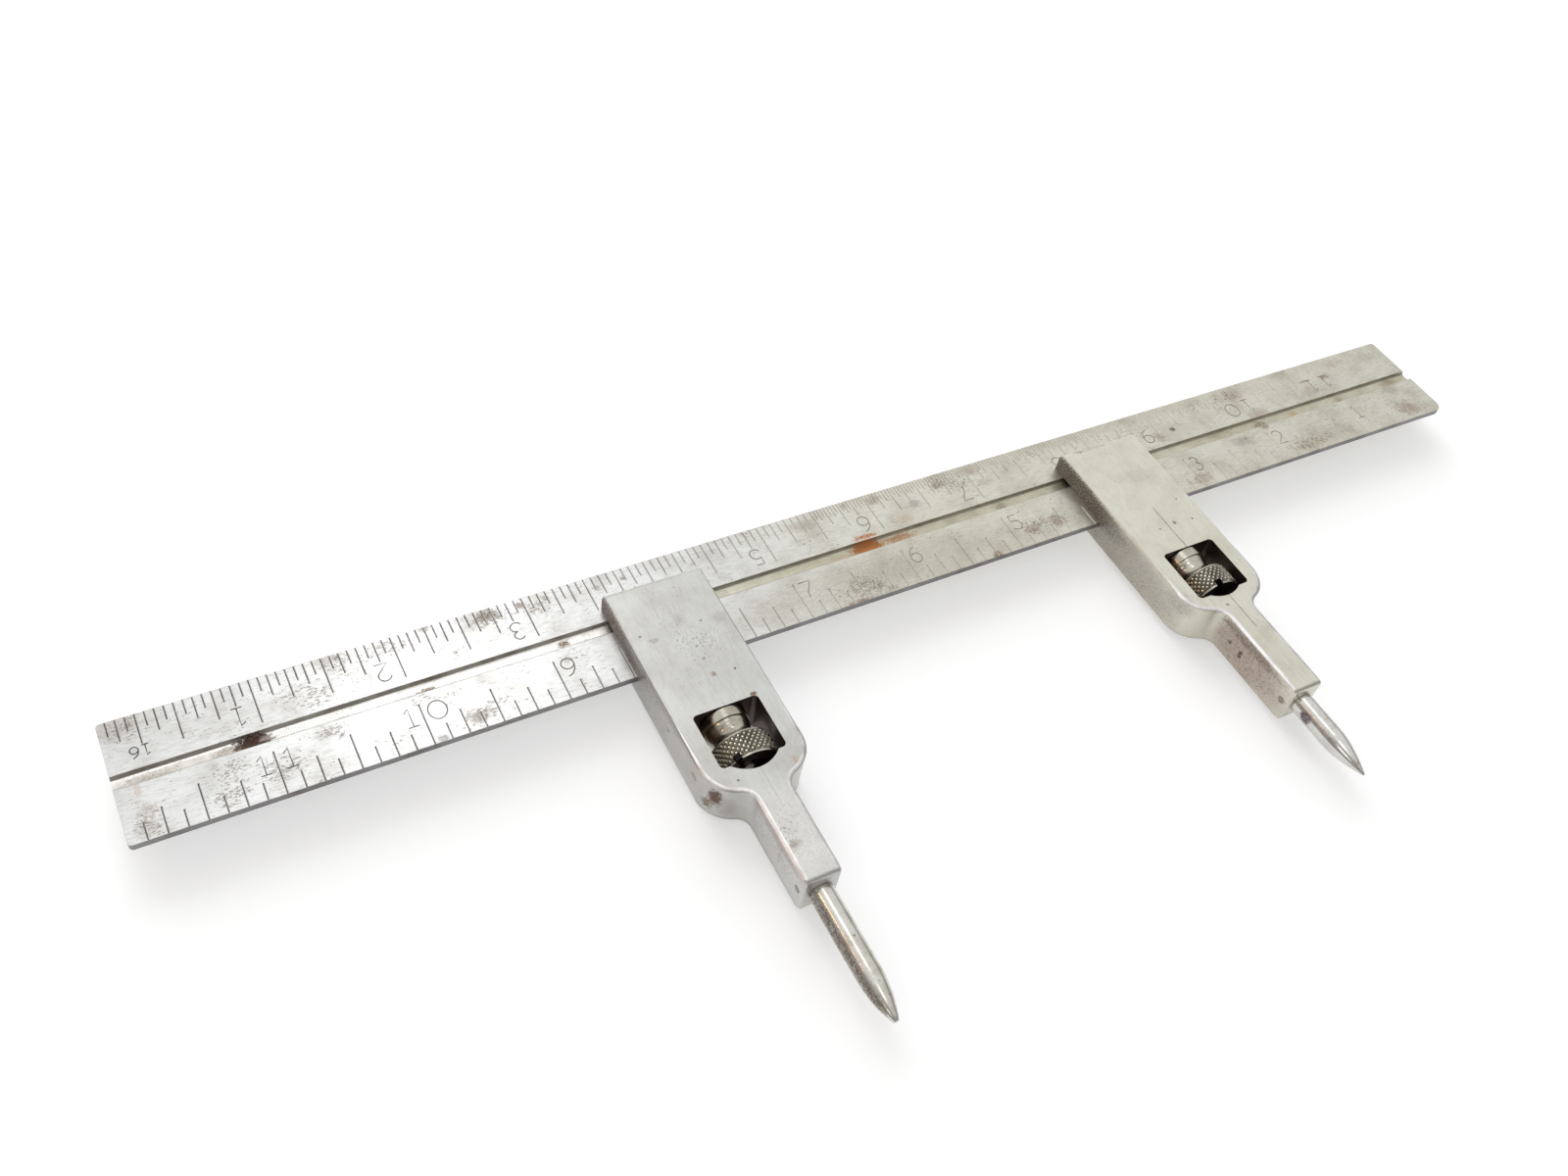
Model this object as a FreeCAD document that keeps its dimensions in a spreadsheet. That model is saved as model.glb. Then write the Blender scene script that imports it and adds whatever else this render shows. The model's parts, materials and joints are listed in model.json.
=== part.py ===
import FreeCAD, Part

import os

import Sketcher
from FreeCAD import Placement, Rotation, Vector

# Beam compass: a grooved steel rule is the beam, and two clamping heads slide on it.
# Row frame: +X along the rule, +Y from the scribing points to the rule, +Z up.
# The rule is centred on X = 0, the whole object is centred on Y = 0, and the knurled
# nuts, which are thicker than the heads, touch Z = 0.
# Each piece of a head is drawn in the head's own frame: X = 0 on its centre line,
# Y = 0 at the rule's near edge and Z = 0 at mid thickness.

SIZES = [
    # the rule
    ("rule_length", 304.8, "12 inch"),
    ("rule_width", 25.4, "1 inch"),
    ("rule_thickness", 1.5875, "1/16 inch"),
    ("rule_corner", 0.8, "corner radius"),
    ("rule_worn_corner", 2.0, "radius of the one corner that is worn round"),
    ("groove_start", 11.3, "near wall of the groove from the near edge"),
    ("groove_width", 2.8, ""),
    ("groove_depth", 0.9, ""),
    ("groove_corner", 0.6, "radius at the groove's bottom"),
    # the forked head
    ("head_width", 20.6, "13/16 inch"),
    ("head_thickness", 9.525, "3/8 inch"),
    ("leaf_reach", 17.5, "end of the fork from the rule's near edge"),
    ("slot_clearance", 0.05, "between the rule's face and each leaf"),
    ("shoulder_start", 25.0, "where the straight sides end"),
    ("shoulder_radius", 7.0, ""),
    ("shank_fillet", 3.0, ""),
    ("shank_width", 7.1, ""),
    ("far_edge_round", 1.2, ""),
    ("shank_end_round", 1.0, ""),
    ("eased_edge", 0.3, "bevel along the outline of both faces"),
    ("window_width", 13.2, ""),
    ("window_corner", 0.9, ""),
    ("web_thickness", 2.4, "wall between the bolt's bore and the window"),
    ("cut_overrun", 2.0, "how far cuts run past the faces that they open"),
    # the two heads differ in their windows, shanks and points
    ("left_window_top", 14.4, "from the rule's near edge"),
    ("left_window_foot", 26.4, ""),
    ("left_window_arc", 28.5, ""),
    ("left_shank_end", 52.1, ""),
    ("left_point_exposed", 25.5, ""),
    ("left_point_taper", 9.3, "length of both tapers, the slim one and the one at the tip"),
    ("left_tip_radius", 0.65, "this point is blunt"),
    ("right_window_top", 15.3, ""),
    ("right_window_foot", 28.05, ""),
    ("right_window_arc", 29.3, ""),
    ("right_shank_end", 54.7, ""),
    ("right_point_exposed", 18.7, ""),
    ("right_point_taper", 9.0, ""),
    ("right_tip_radius", 0.25, ""),
    ("left_head_x", -52.73, "centre line of each head, from the rule's middle"),
    ("right_head_x", 56.07, ""),
    # the scribing points and their cross pins
    ("point_diameter", 4.76, "3/16 inch"),
    ("tang_diameter", 3.97, "5/32 inch, the part of the point that the shank holds"),
    ("tang_length", 15.0, ""),
    ("tang_clearance", 0.02, "radial, in the shank"),
    ("socket_bottom", 0.5, "room between the tang's end and the socket's bottom"),
    ("pin_diameter", 1.5875, "1/16 inch"),
    ("pin_clearance", 0.01, "radial"),
    ("pin_inset", 1.9, "pin's axis from the shank's end"),
    # the clamp: hooked bolt, spring and knurled nut
    ("bore_diameter", 6.0, ""),
    ("bolt_clearance", 0.05, "radial, in the bore"),
    ("hook_thickness", 1.6, ""),
    ("hook_depth", 0.6, "reach of the hook into the groove"),
    ("hook_chamfer", 0.3, ""),
    ("tongue_clearance", 0.05, "between the half-round tongue and the rule's face"),
    ("barrel_start", 1.3, "full round part of the bolt, from the rule's near edge"),
    ("barrel_length", 3.0, ""),
    ("bolt_chamfer", 0.4, ""),
    ("thread_diameter", 3.5, "No. 6 machine screw"),
    ("bolt_length", 38.3, "hook to threaded end"),
    ("web_hole_clearance", 0.1, "radial, round the thread"),
    ("thread_clearance", 0.05, "radial, in the nut"),
    ("spring_wire", 0.7, "square wire"),
    ("spring_clearance", 0.3, "radial, in the bore"),
    ("spring_turns", 2.0, ""),
    ("spring_gap", 0.02, "at each end"),
    ("nut_length", 11.7, ""),
    ("nut_collar_diameter", 9.3, ""),
    ("nut_collar_length", 2.4, "these lengths are from the face that bears on the web"),
    ("nut_neck_start", 3.3, ""),
    ("nut_neck_diameter", 8.1, ""),
    ("nut_neck_end", 4.9, ""),
    ("nut_flare_end", 6.2, ""),
    ("nut_flare_diameter", 10.4, ""),
    ("knurl_start", 6.6, ""),
    ("nut_recess_diameter", 7.4, "recess round the bolt's end"),
    ("nut_recess_depth", 2.0, ""),
    ("knurl_diameter", 12.4, "mean of crests and roots"),
    ("knurl_chamfer", 0.4, "chamfer on the side of the end face"),
    ("slot_width", 1.5, "screwdriver slot in the nut's end"),
    ("slot_depth", 1.3, ""),
    ("left_nut_turn", -30.0, "degrees by which the slot is turned from upright"),
    ("right_nut_turn", -8.0, ""),
]

# How Sketcher numbers the points of an edge.
EDGE_POINTS = ("whole edge", "start", "end", "centre")
START = EDGE_POINTS.index("start")
END = EDGE_POINTS.index("end")
CENTRE = EDGE_POINTS.index("centre")

doc = FreeCAD.newDocument("beam_compass")
sheet = doc.addObject("Spreadsheet::Sheet", "sizes")
for row, (alias, number, note) in enumerate(SIZES, start=1):
    sheet.set(f"A{row}", alias)
    sheet.set(f"B{row}", str(number))
    sheet.set(f"C{row}", note)
    sheet.setAlias(f"B{row}", alias)
doc.recompute()

# Where the rule's near edge and the middle of the thickness lie in the row frame.
BEAM_EDGE_Y = "(sizes.left_shank_end + sizes.left_point_exposed - sizes.rule_width) / 2"
AXIS_HEIGHT = "sizes.knurl_diameter / 2"


class Outline:
    """A sketch on one of a body's own planes, with its points dimensioned from the origin.

    To Sketcher the horizontal axis is edge -1, whose start is the origin, and the vertical
    axis is edge -2.
    """

    def __init__(self, body, name, plane):
        support = next(feature for feature in body.Origin.OriginFeatures if feature.Role == plane)
        self.sketch = body.newObject("Sketcher::SketchObject", name)
        self.sketch.AttachmentSupport = [(support, "")]
        self.sketch.MapMode = "FlatFace"

    def number(self, expression):
        return float(self.sketch.evalExpression(expression))

    def constrain(self, kind, *references, expression=None):
        if expression is None:
            self.sketch.addConstraint(Sketcher.Constraint(kind, *references))
            return
        datum = Sketcher.Constraint(kind, *references, self.number(expression))
        index = self.sketch.addConstraint(datum)
        self.sketch.setExpression(f"Constraints[{index}]", expression)

    def fix_across(self, edge, end, expression):
        if expression == "0":
            self.constrain("PointOnObject", edge, end, -2)
        else:
            self.constrain("DistanceX", -1, START, edge, end, expression=expression)

    def fix_up(self, edge, end, expression):
        if expression == "0":
            self.constrain("PointOnObject", edge, end, -1)
        else:
            self.constrain("DistanceY", -1, START, edge, end, expression=expression)

    def point(self, across, up):
        return Vector(self.number(across), self.number(up), 0)

    def line(self, first, last):
        return self.sketch.addGeometry(Part.LineSegment(first, last))

    def arc(self, centre, radius, first, last):
        """Arc from the point first to the point last, anticlockwise about centre."""
        circle = Part.Circle(centre, Vector(0, 0, 1), radius)
        arc = Part.ArcOfCircle(circle, circle.parameter(first), circle.parameter(last))
        return self.sketch.addGeometry(arc)

    def polygon(self, corners):
        points = [self.point(across, up) for across, up in corners]
        edges = [self.line(a, b) for a, b in zip(points, points[1:] + points[:1])]
        for before, after in zip(edges, edges[1:] + edges[:1]):
            self.constrain("Coincident", before, END, after, START)
        for edge, (across, up) in zip(edges, corners):
            self.fix_across(edge, START, across)
            self.fix_up(edge, START, up)
        return self.sketch

    def circle(self, across, up, diameter):
        centre = self.point(across, up)
        edge = self.sketch.addGeometry(Part.Circle(centre, Vector(0, 0, 1), self.number(diameter) / 2))
        self.fix_across(edge, CENTRE, across)
        self.fix_up(edge, CENTRE, up)
        self.constrain("Diameter", edge, expression=diameter)
        return self.sketch


def new_body(name):
    body = doc.addObject("PartDesign::Body", name)
    body.Label = name
    return body


def pad(body, name, sketch, length):
    feature = body.newObject("PartDesign::Pad", name)
    feature.Profile = sketch
    feature.SideType = "Symmetric"
    feature.setExpression("Length", length)
    doc.recompute()
    return feature


def volume(body):
    return 0 if body.Shape.isNull() else body.Shape.Volume


def pocket(body, name, sketch):
    """Cut through everything, both ways from the sketch."""
    before = volume(body)
    feature = body.newObject("PartDesign::Pocket", name)
    feature.Profile = sketch
    feature.Type = "ThroughAll"
    feature.SideType = "Symmetric"
    doc.recompute()
    if volume(body) >= before:
        raise RuntimeError(f"{body.Label}: {name} cuts nothing")
    return feature


def revolve(body, name, sketch, kind="PartDesign::Revolution"):
    """Turn a sketch about its vertical axis, to add or, as a PartDesign::Groove, to cut."""
    before = volume(body)
    feature = body.newObject(kind, name)
    feature.Profile = sketch
    feature.ReferenceAxis = (sketch, ["V_Axis"])
    feature.Angle = 360
    doc.recompute()
    if kind == "PartDesign::Groove" and volume(body) >= before:
        raise RuntimeError(f"{body.Label}: {name} cuts nothing")
    return feature


def dress(body, name, kind, size, wanted):
    """Round or bevel every edge of the body for which wanted(edge) is true."""
    tip = body.Tip
    names = [f"Edge{i}" for i, edge in enumerate(tip.Shape.Edges, start=1) if wanted(edge)]
    feature = body.newObject(f"PartDesign::{kind}", name)
    feature.Base = (tip, names)
    feature.setExpression("Radius" if kind == "Fillet" else "Size", size)
    doc.recompute()
    return feature


def fillet(body, name, radius, wanted):
    return dress(body, name, "Fillet", radius, wanted)


def chamfer(body, name, size, wanted):
    return dress(body, name, "Chamfer", size, wanted)


def runs_along(edge, direction):
    if edge.Curve.TypeId != "Part::GeomLine":
        return False
    return abs(edge.tangentAt(edge.FirstParameter).dot(direction)) > 0.999


def near(a, b):
    return abs(a - b) < 1e-4


def place(body, x, turn=None):
    """Put a piece into the row frame, bound to the sheet."""
    body.Placement = Placement(Vector(0, 0, 0), Rotation(Vector(0, 1, 0), 0))
    body.setExpression("Placement.Base.x", x)
    body.setExpression("Placement.Base.y", BEAM_EDGE_Y)
    body.setExpression("Placement.Base.z", AXIS_HEIGHT)
    if turn is not None:
        body.Placement.Rotation = Rotation(Vector(0, 1, 0), 1)
        body.setExpression("Placement.Rotation.Angle", turn)


def make_rule():
    """The beam, with the groove that the clamps hook into along its front face."""
    body = new_body("rule")
    plan = Outline(body, "rule_plan", "XY_Plane").polygon([
        ("-sizes.rule_length / 2", "0"),
        ("sizes.rule_length / 2", "0"),
        ("sizes.rule_length / 2", "sizes.rule_width"),
        ("-sizes.rule_length / 2", "sizes.rule_width"),
    ])
    pad(body, "blade", plan, "sizes.rule_thickness")

    upright = Vector(0, 0, 1)

    def is_worn(edge):
        centre = edge.CenterOfMass
        return runs_along(edge, upright) and centre.x > 0 and near(centre.y, 0)

    def is_other_corner(edge):
        centre = edge.CenterOfMass
        at_edge = near(centre.y, sheet.rule_width) or (near(centre.y, 0) and centre.x < 0)
        return runs_along(edge, upright) and at_edge

    fillet(body, "worn_corner", "sizes.rule_worn_corner", is_worn)
    fillet(body, "corners", "sizes.rule_corner", is_other_corner)

    near_wall = "sizes.groove_start"
    far_wall = "sizes.groove_start + sizes.groove_width"
    mouth = "sizes.rule_thickness / 2 + sizes.cut_overrun"
    floor = "sizes.rule_thickness / 2 - sizes.groove_depth"
    section = Outline(body, "groove_section", "YZ_Plane").polygon([
        (near_wall, mouth),
        (near_wall, floor),
        (far_wall, floor),
        (far_wall, mouth),
    ])
    pocket(body, "groove", section)
    floor_height = sheet.rule_thickness / 2 - sheet.groove_depth

    def is_groove_foot(edge):
        return runs_along(edge, Vector(1, 0, 0)) and near(edge.CenterOfMass.z, floor_height)

    fillet(body, "groove_feet", "sizes.groove_corner", is_groove_foot)
    place(body, "0")


def make_head(side):
    """Fork for the rule, window for the nut, shoulder and shank for the point."""
    window_top = f"sizes.{side}_window_top"
    window_foot = f"sizes.{side}_window_foot"
    window_arc = f"sizes.{side}_window_arc"
    shank_end = f"sizes.{side}_shank_end"
    half_width = "sizes.head_width / 2"
    half_shank = "sizes.shank_width / 2"
    body = new_body(f"{side}_head")

    profile = Outline(body, "side_view", "YZ_Plane").polygon([
        (f"-{shank_end}", "-sizes.head_thickness / 2"),
        ("sizes.leaf_reach", "-sizes.head_thickness / 2"),
        ("sizes.leaf_reach", "sizes.head_thickness / 2"),
        (f"-{shank_end}", "sizes.head_thickness / 2"),
    ])
    pad(body, "slab", profile, "sizes.head_width")
    across = Vector(1, 0, 0)

    def is_far_edge(edge):
        return runs_along(edge, across) and near(edge.CenterOfMass.y, sheet.leaf_reach)

    def is_end_edge(edge):
        return runs_along(edge, across) and near(edge.CenterOfMass.y, -sheet.get(f"{side}_shank_end"))

    fillet(body, "far_edges", "sizes.far_edge_round", is_far_edge)
    fillet(body, "end_edges", "sizes.shank_end_round", is_end_edge)

    # What is milled away beside the shank: round the shoulder, through the fillet, down the shank.
    waste = Outline(body, "beside_shank", "XY_Plane")
    shoulder_x = f"{half_width} - sizes.shoulder_radius"
    shoulder_y = "-sizes.shoulder_start"
    fillet_x = f"{half_shank} + sizes.shank_fillet"
    reach = "(sizes.shoulder_radius + sizes.shank_fillet)"
    offset = f"({fillet_x} - {half_width} + sizes.shoulder_radius)"
    fillet_y = f"{shoulder_y} - sqrt({reach} ^ 2 - {offset} ^ 2)"
    shoulder_centre = waste.point(shoulder_x, shoulder_y)
    fillet_centre = waste.point(fillet_x, fillet_y)
    shoulder_radius = waste.number("sizes.shoulder_radius")
    fillet_radius = waste.number("sizes.shank_fillet")
    toward_shoulder = (shoulder_centre - fillet_centre).normalize()
    meeting = fillet_centre + toward_shoulder * fillet_radius
    shoulder_end = shoulder_centre + Vector(shoulder_radius, 0, 0)
    shank_top = fillet_centre - Vector(fillet_radius, 0, 0)
    shoulder = waste.arc(shoulder_centre, shoulder_radius, meeting, shoulder_end)
    cove = waste.arc(fillet_centre, fillet_radius, meeting, shank_top)
    outside = f"{half_width} + sizes.cut_overrun"
    below = f"-{shank_end} - sizes.cut_overrun"
    shank_foot = waste.point(half_shank, below)
    outer_foot = waste.point(outside, below)
    outer_top = waste.point(outside, shoulder_y)
    shank_side = waste.line(shank_top, shank_foot)
    foot = waste.line(shank_foot, outer_foot)
    outer = waste.line(outer_foot, outer_top)
    top = waste.line(outer_top, shoulder_end)
    waste.constrain("Tangent", shoulder, START, cove, START)
    waste.constrain("Tangent", cove, END, shank_side, START)
    waste.constrain("Coincident", shank_side, END, foot, START)
    waste.constrain("Coincident", foot, END, outer, START)
    waste.constrain("Coincident", outer, END, top, START)
    waste.constrain("Coincident", top, END, shoulder, END)
    waste.constrain("Radius", shoulder, expression="sizes.shoulder_radius")
    waste.constrain("Radius", cove, expression="sizes.shank_fillet")
    waste.fix_across(shoulder, CENTRE, shoulder_x)
    waste.fix_up(shoulder, CENTRE, shoulder_y)
    waste.fix_up(top, END, shoulder_y)
    waste.fix_across(shank_side, END, half_shank)
    waste.fix_up(shank_side, END, below)
    waste.constrain("Vertical", shank_side)
    waste.fix_across(foot, END, outside)
    waste.constrain("Horizontal", foot)
    waste.constrain("Vertical", outer)
    waste.constrain("Horizontal", top)
    cut = pocket(body, "right_of_shank", waste.sketch)
    mirror = body.newObject("PartDesign::Mirrored", "left_of_shank")
    mirror.Originals = [cut]
    yz_plane = next(feature for feature in body.Origin.OriginFeatures if feature.Role == "YZ_Plane")
    mirror.MirrorPlane = (yz_plane, [""])
    body.Tip = mirror
    doc.recompute()

    half_thickness = sheet.head_thickness / 2

    def is_outline(edge):
        on_face = near(edge.BoundBox.ZLength, 0) and near(abs(edge.CenterOfMass.z), half_thickness)
        return on_face and not runs_along(edge, across)

    chamfer(body, "eased_edges", "sizes.eased_edge", is_outline)

    slot = Outline(body, "slot_section", "YZ_Plane").polygon([
        ("0", "-sizes.rule_thickness / 2 - sizes.slot_clearance"),
        ("sizes.leaf_reach + sizes.cut_overrun", "-sizes.rule_thickness / 2 - sizes.slot_clearance"),
        ("sizes.leaf_reach + sizes.cut_overrun", "sizes.rule_thickness / 2 + sizes.slot_clearance"),
        ("0", "sizes.rule_thickness / 2 + sizes.slot_clearance"),
    ])
    pocket(body, "rule_slot", slot)

    window = Outline(body, "window_plan", "XY_Plane").polygon([
        ("-sizes.window_width / 2", f"-{window_foot}"),
        ("sizes.window_width / 2", f"-{window_foot}"),
        ("sizes.window_width / 2", f"-{window_top}"),
        ("-sizes.window_width / 2", f"-{window_top}"),
    ])
    pocket(body, "window", window)

    def is_window_corner(edge):
        centre = edge.CenterOfMass
        return runs_along(edge, Vector(0, 0, 1)) and near(abs(centre.x), sheet.window_width / 2)

    fillet(body, "window_corners", "sizes.window_corner", is_window_corner)
    arc_plan = Outline(body, "window_arc_plan", "XY_Plane").circle(
        "0", f"sizes.window_width / 2 - {window_arc}", "sizes.window_width")
    pocket(body, "window_arc", arc_plan)

    bore_radius = "sizes.bore_diameter / 2"
    web_hole = "sizes.thread_diameter / 2 + sizes.web_hole_clearance"
    far_end = "sizes.leaf_reach + sizes.cut_overrun"
    web_top = f"sizes.web_thickness - {window_top}"
    in_window = f"-{window_top} - sizes.cut_overrun"
    bore = Outline(body, "bolt_bore_section", "XY_Plane").polygon([
        ("0", far_end),
        ("0", in_window),
        (web_hole, in_window),
        (web_hole, web_top),
        (bore_radius, web_top),
        (bore_radius, far_end),
    ])
    revolve(body, "bolt_bore", bore, "PartDesign::Groove")

    socket_radius = "sizes.tang_diameter / 2 + sizes.tang_clearance"
    socket_end = f"sizes.tang_length + sizes.socket_bottom - {shank_end}"
    socket = Outline(body, "point_socket_section", "XY_Plane").polygon([
        ("0", f"-{shank_end} - sizes.cut_overrun"),
        (socket_radius, f"-{shank_end} - sizes.cut_overrun"),
        (socket_radius, socket_end),
        ("0", socket_end),
    ])
    revolve(body, "point_socket", socket, "PartDesign::Groove")

    pin_hole = Outline(body, "pin_hole_plan", "YZ_Plane").circle(
        f"sizes.pin_inset - {shank_end}", "0", "sizes.pin_diameter + 2 * sizes.pin_clearance")
    pocket(body, "pin_hole", pin_hole)
    place(body, f"sizes.{side}_head_x")


def make_point(side):
    """Scribing point: tang in the shank, shoulder on its end, slim taper, steeper one at the tip."""
    shank_end = f"sizes.{side}_shank_end"
    tip_radius = f"sizes.{side}_tip_radius"
    radius = "sizes.point_diameter / 2"
    tang = "sizes.tang_diameter / 2"
    back = f"sizes.tang_length - {shank_end}"
    tip = f"-{shank_end} - sizes.{side}_point_exposed"
    body = new_body(f"{side}_point")
    half = Outline(body, "half_section", "XY_Plane").polygon([
        ("0", tip),
        ("0", back),
        (tang, back),
        (tang, f"-{shank_end}"),
        (radius, f"-{shank_end}"),
        (radius, f"{tip} + sizes.{side}_point_taper"),
        (f"({radius}) * 3 / 4 + {tip_radius} / 4", f"{tip} + sizes.{side}_point_taper / 2"),
        (tip_radius, tip),
    ])
    revolve(body, "turned_point", half)

    pin_hole = Outline(body, "pin_hole_plan", "YZ_Plane").circle(
        f"sizes.pin_inset - {shank_end}", "0", "sizes.pin_diameter + 2 * sizes.pin_clearance")
    pocket(body, "pin_hole", pin_hole)
    place(body, f"sizes.{side}_head_x")


def make_point_pin(side):
    """Cross pin, driven through shank and point and dressed flush."""
    pin = doc.addObject("Part::Cylinder", f"{side}_point_pin")
    pin.Label = f"{side}_point_pin"
    pin.setExpression("Radius", "sizes.pin_diameter / 2")
    pin.setExpression("Height", "sizes.shank_width")
    pin.Placement = Placement(Vector(0, 0, 0), Rotation(Vector(0, 1, 0), 90))
    pin.setExpression("Placement.Base.x", f"sizes.{side}_head_x - sizes.shank_width / 2")
    pin.setExpression("Placement.Base.y", f"{BEAM_EDGE_Y} + sizes.pin_inset - sizes.{side}_shank_end")
    pin.setExpression("Placement.Base.z", AXIS_HEIGHT)


def make_clamp_bolt(side):
    """Draw bolt: hook and half-round tongue on the rule, round barrel, threaded shank."""
    barrel = "sizes.bore_diameter / 2 - sizes.bolt_clearance"
    thread = "sizes.thread_diameter / 2"
    hook_end = "sizes.groove_start + sizes.hook_thickness"
    barrel_foot = "-sizes.barrel_start - sizes.barrel_length"
    bolt_end = f"{hook_end} - sizes.bolt_length"
    body = new_body(f"{side}_clamp_bolt")
    half = Outline(body, "half_section", "XY_Plane").polygon([
        ("0", hook_end),
        ("0", bolt_end),
        (f"{thread} - sizes.bolt_chamfer", bolt_end),
        (thread, f"{bolt_end} + sizes.bolt_chamfer"),
        (thread, barrel_foot),
        (barrel, barrel_foot),
        (barrel, f"{hook_end} - sizes.bolt_chamfer"),
        (f"{barrel} - sizes.bolt_chamfer", hook_end),
    ])
    revolve(body, "turned_blank", half)

    rule_face = "sizes.rule_thickness / 2"
    below = f"-({barrel}) - sizes.cut_overrun"
    hook_face = f"{rule_face} - sizes.hook_depth"
    relief = Outline(body, "rule_relief", "YZ_Plane").polygon([
        ("-sizes.barrel_start", below),
        (f"{hook_end} + sizes.cut_overrun", below),
        (f"{hook_end} + sizes.cut_overrun", hook_face),
        ("sizes.groove_start + sizes.hook_chamfer", hook_face),
        ("sizes.groove_start", f"{hook_face} + sizes.hook_chamfer"),
        ("sizes.groove_start", f"{rule_face} + sizes.tongue_clearance"),
        ("-sizes.barrel_start", f"{rule_face} + sizes.tongue_clearance"),
    ])
    pocket(body, "milled_tongue", relief)
    place(body, f"sizes.{side}_head_x")


def make_clamp_spring(side):
    """Compression spring between the bolt's barrel and the web by the window."""
    body = new_body(f"{side}_clamp_spring")
    outer = "(sizes.bore_diameter / 2 - sizes.spring_clearance)"
    web_top = f"sizes.web_thickness - sizes.{side}_window_top"
    barrel_foot = "-sizes.barrel_start - sizes.barrel_length"
    first_end = f"{web_top} + sizes.spring_gap"
    wire = Outline(body, "wire_section", "XY_Plane").polygon([
        (f"{outer} - sizes.spring_wire", first_end),
        (outer, first_end),
        (outer, f"{first_end} + sizes.spring_wire"),
        (f"{outer} - sizes.spring_wire", f"{first_end} + sizes.spring_wire"),
    ])
    coil = body.newObject("PartDesign::AdditiveHelix", "coil")
    coil.Profile = wire
    coil.ReferenceAxis = (wire, ["V_Axis"])
    coil.Mode = "height-turns-angle"
    coil.setExpression("Turns", "sizes.spring_turns")
    coil.setExpression("Height", f"({barrel_foot}) - ({web_top}) - sizes.spring_wire - 2 * sizes.spring_gap")
    doc.recompute()
    place(body, f"sizes.{side}_head_x")


def make_clamp_nut(side):
    """Turned nut: collar on the web, waisted neck, knurled head, recessed and slotted end."""
    window_top = f"sizes.{side}_window_top"
    bore = "sizes.thread_diameter / 2 + sizes.thread_clearance"
    collar = "sizes.nut_collar_diameter / 2"
    neck = "sizes.nut_neck_diameter / 2"
    drum = "sizes.knurl_diameter / 2"
    recess = "sizes.nut_recess_diameter / 2"
    end = f"-{window_top} - sizes.nut_length"
    body = new_body(f"{side}_clamp_nut")
    half = Outline(body, "half_section", "XY_Plane").polygon([
        (bore, f"-{window_top}"),
        (collar, f"-{window_top}"),
        (collar, f"-{window_top} - sizes.nut_collar_length"),
        (neck, f"-{window_top} - sizes.nut_neck_start"),
        (neck, f"-{window_top} - sizes.nut_neck_end"),
        ("sizes.nut_flare_diameter / 2", f"-{window_top} - sizes.nut_flare_end"),
        (drum, f"-{window_top} - sizes.knurl_start"),
        (drum, f"{end} + sizes.knurl_chamfer"),
        (f"{drum} - sizes.knurl_chamfer", end),
        (recess, end),
        (recess, f"{end} + sizes.nut_recess_depth"),
        (bore, f"{end} + sizes.nut_recess_depth"),
    ])
    revolve(body, "turned_nut", half)

    slot = Outline(body, "slot_section", "XY_Plane").polygon([
        ("-sizes.slot_width / 2", f"{end} - sizes.cut_overrun"),
        ("sizes.slot_width / 2", f"{end} - sizes.cut_overrun"),
        ("sizes.slot_width / 2", f"{end} + sizes.slot_depth"),
        ("-sizes.slot_width / 2", f"{end} + sizes.slot_depth"),
    ])
    pocket(body, "screwdriver_slot", slot)
    place(body, f"sizes.{side}_head_x", f"sizes.{side}_nut_turn")


make_rule()
for side in ("left", "right"):
    make_head(side)
    make_point(side)
    make_point_pin(side)
    make_clamp_bolt(side)
    make_clamp_spring(side)
    make_clamp_nut(side)
doc.recompute()

pieces = [thing for thing in doc.Objects if thing.isDerivedFrom("PartDesign::Body")]
pieces += [thing for thing in doc.Objects if thing.isDerivedFrom("Part::Cylinder")]
for thing in doc.Objects:
    if "Invalid" in thing.State or "Error" in thing.State:
        raise RuntimeError(f"{thing.Label} failed: {thing.State}")
for piece in pieces:
    if piece.Shape.isNull() or not piece.Shape.isValid() or len(piece.Shape.Solids) != 1:
        raise RuntimeError(f"{piece.Label} is not one valid solid")

os.makedirs("parts", exist_ok=True)
for piece in pieces:
    piece.Shape.exportStep(f"parts/{piece.Label}.step")
    box = piece.Shape.BoundBox
    print(f"{piece.Label}: {box.XLength:.2f} x {box.YLength:.2f} x {box.ZLength:.2f} mm, "
          f"volume {piece.Shape.Volume:.1f} mm3, {len(piece.Shape.Faces)} faces")
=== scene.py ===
import json
import math

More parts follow.
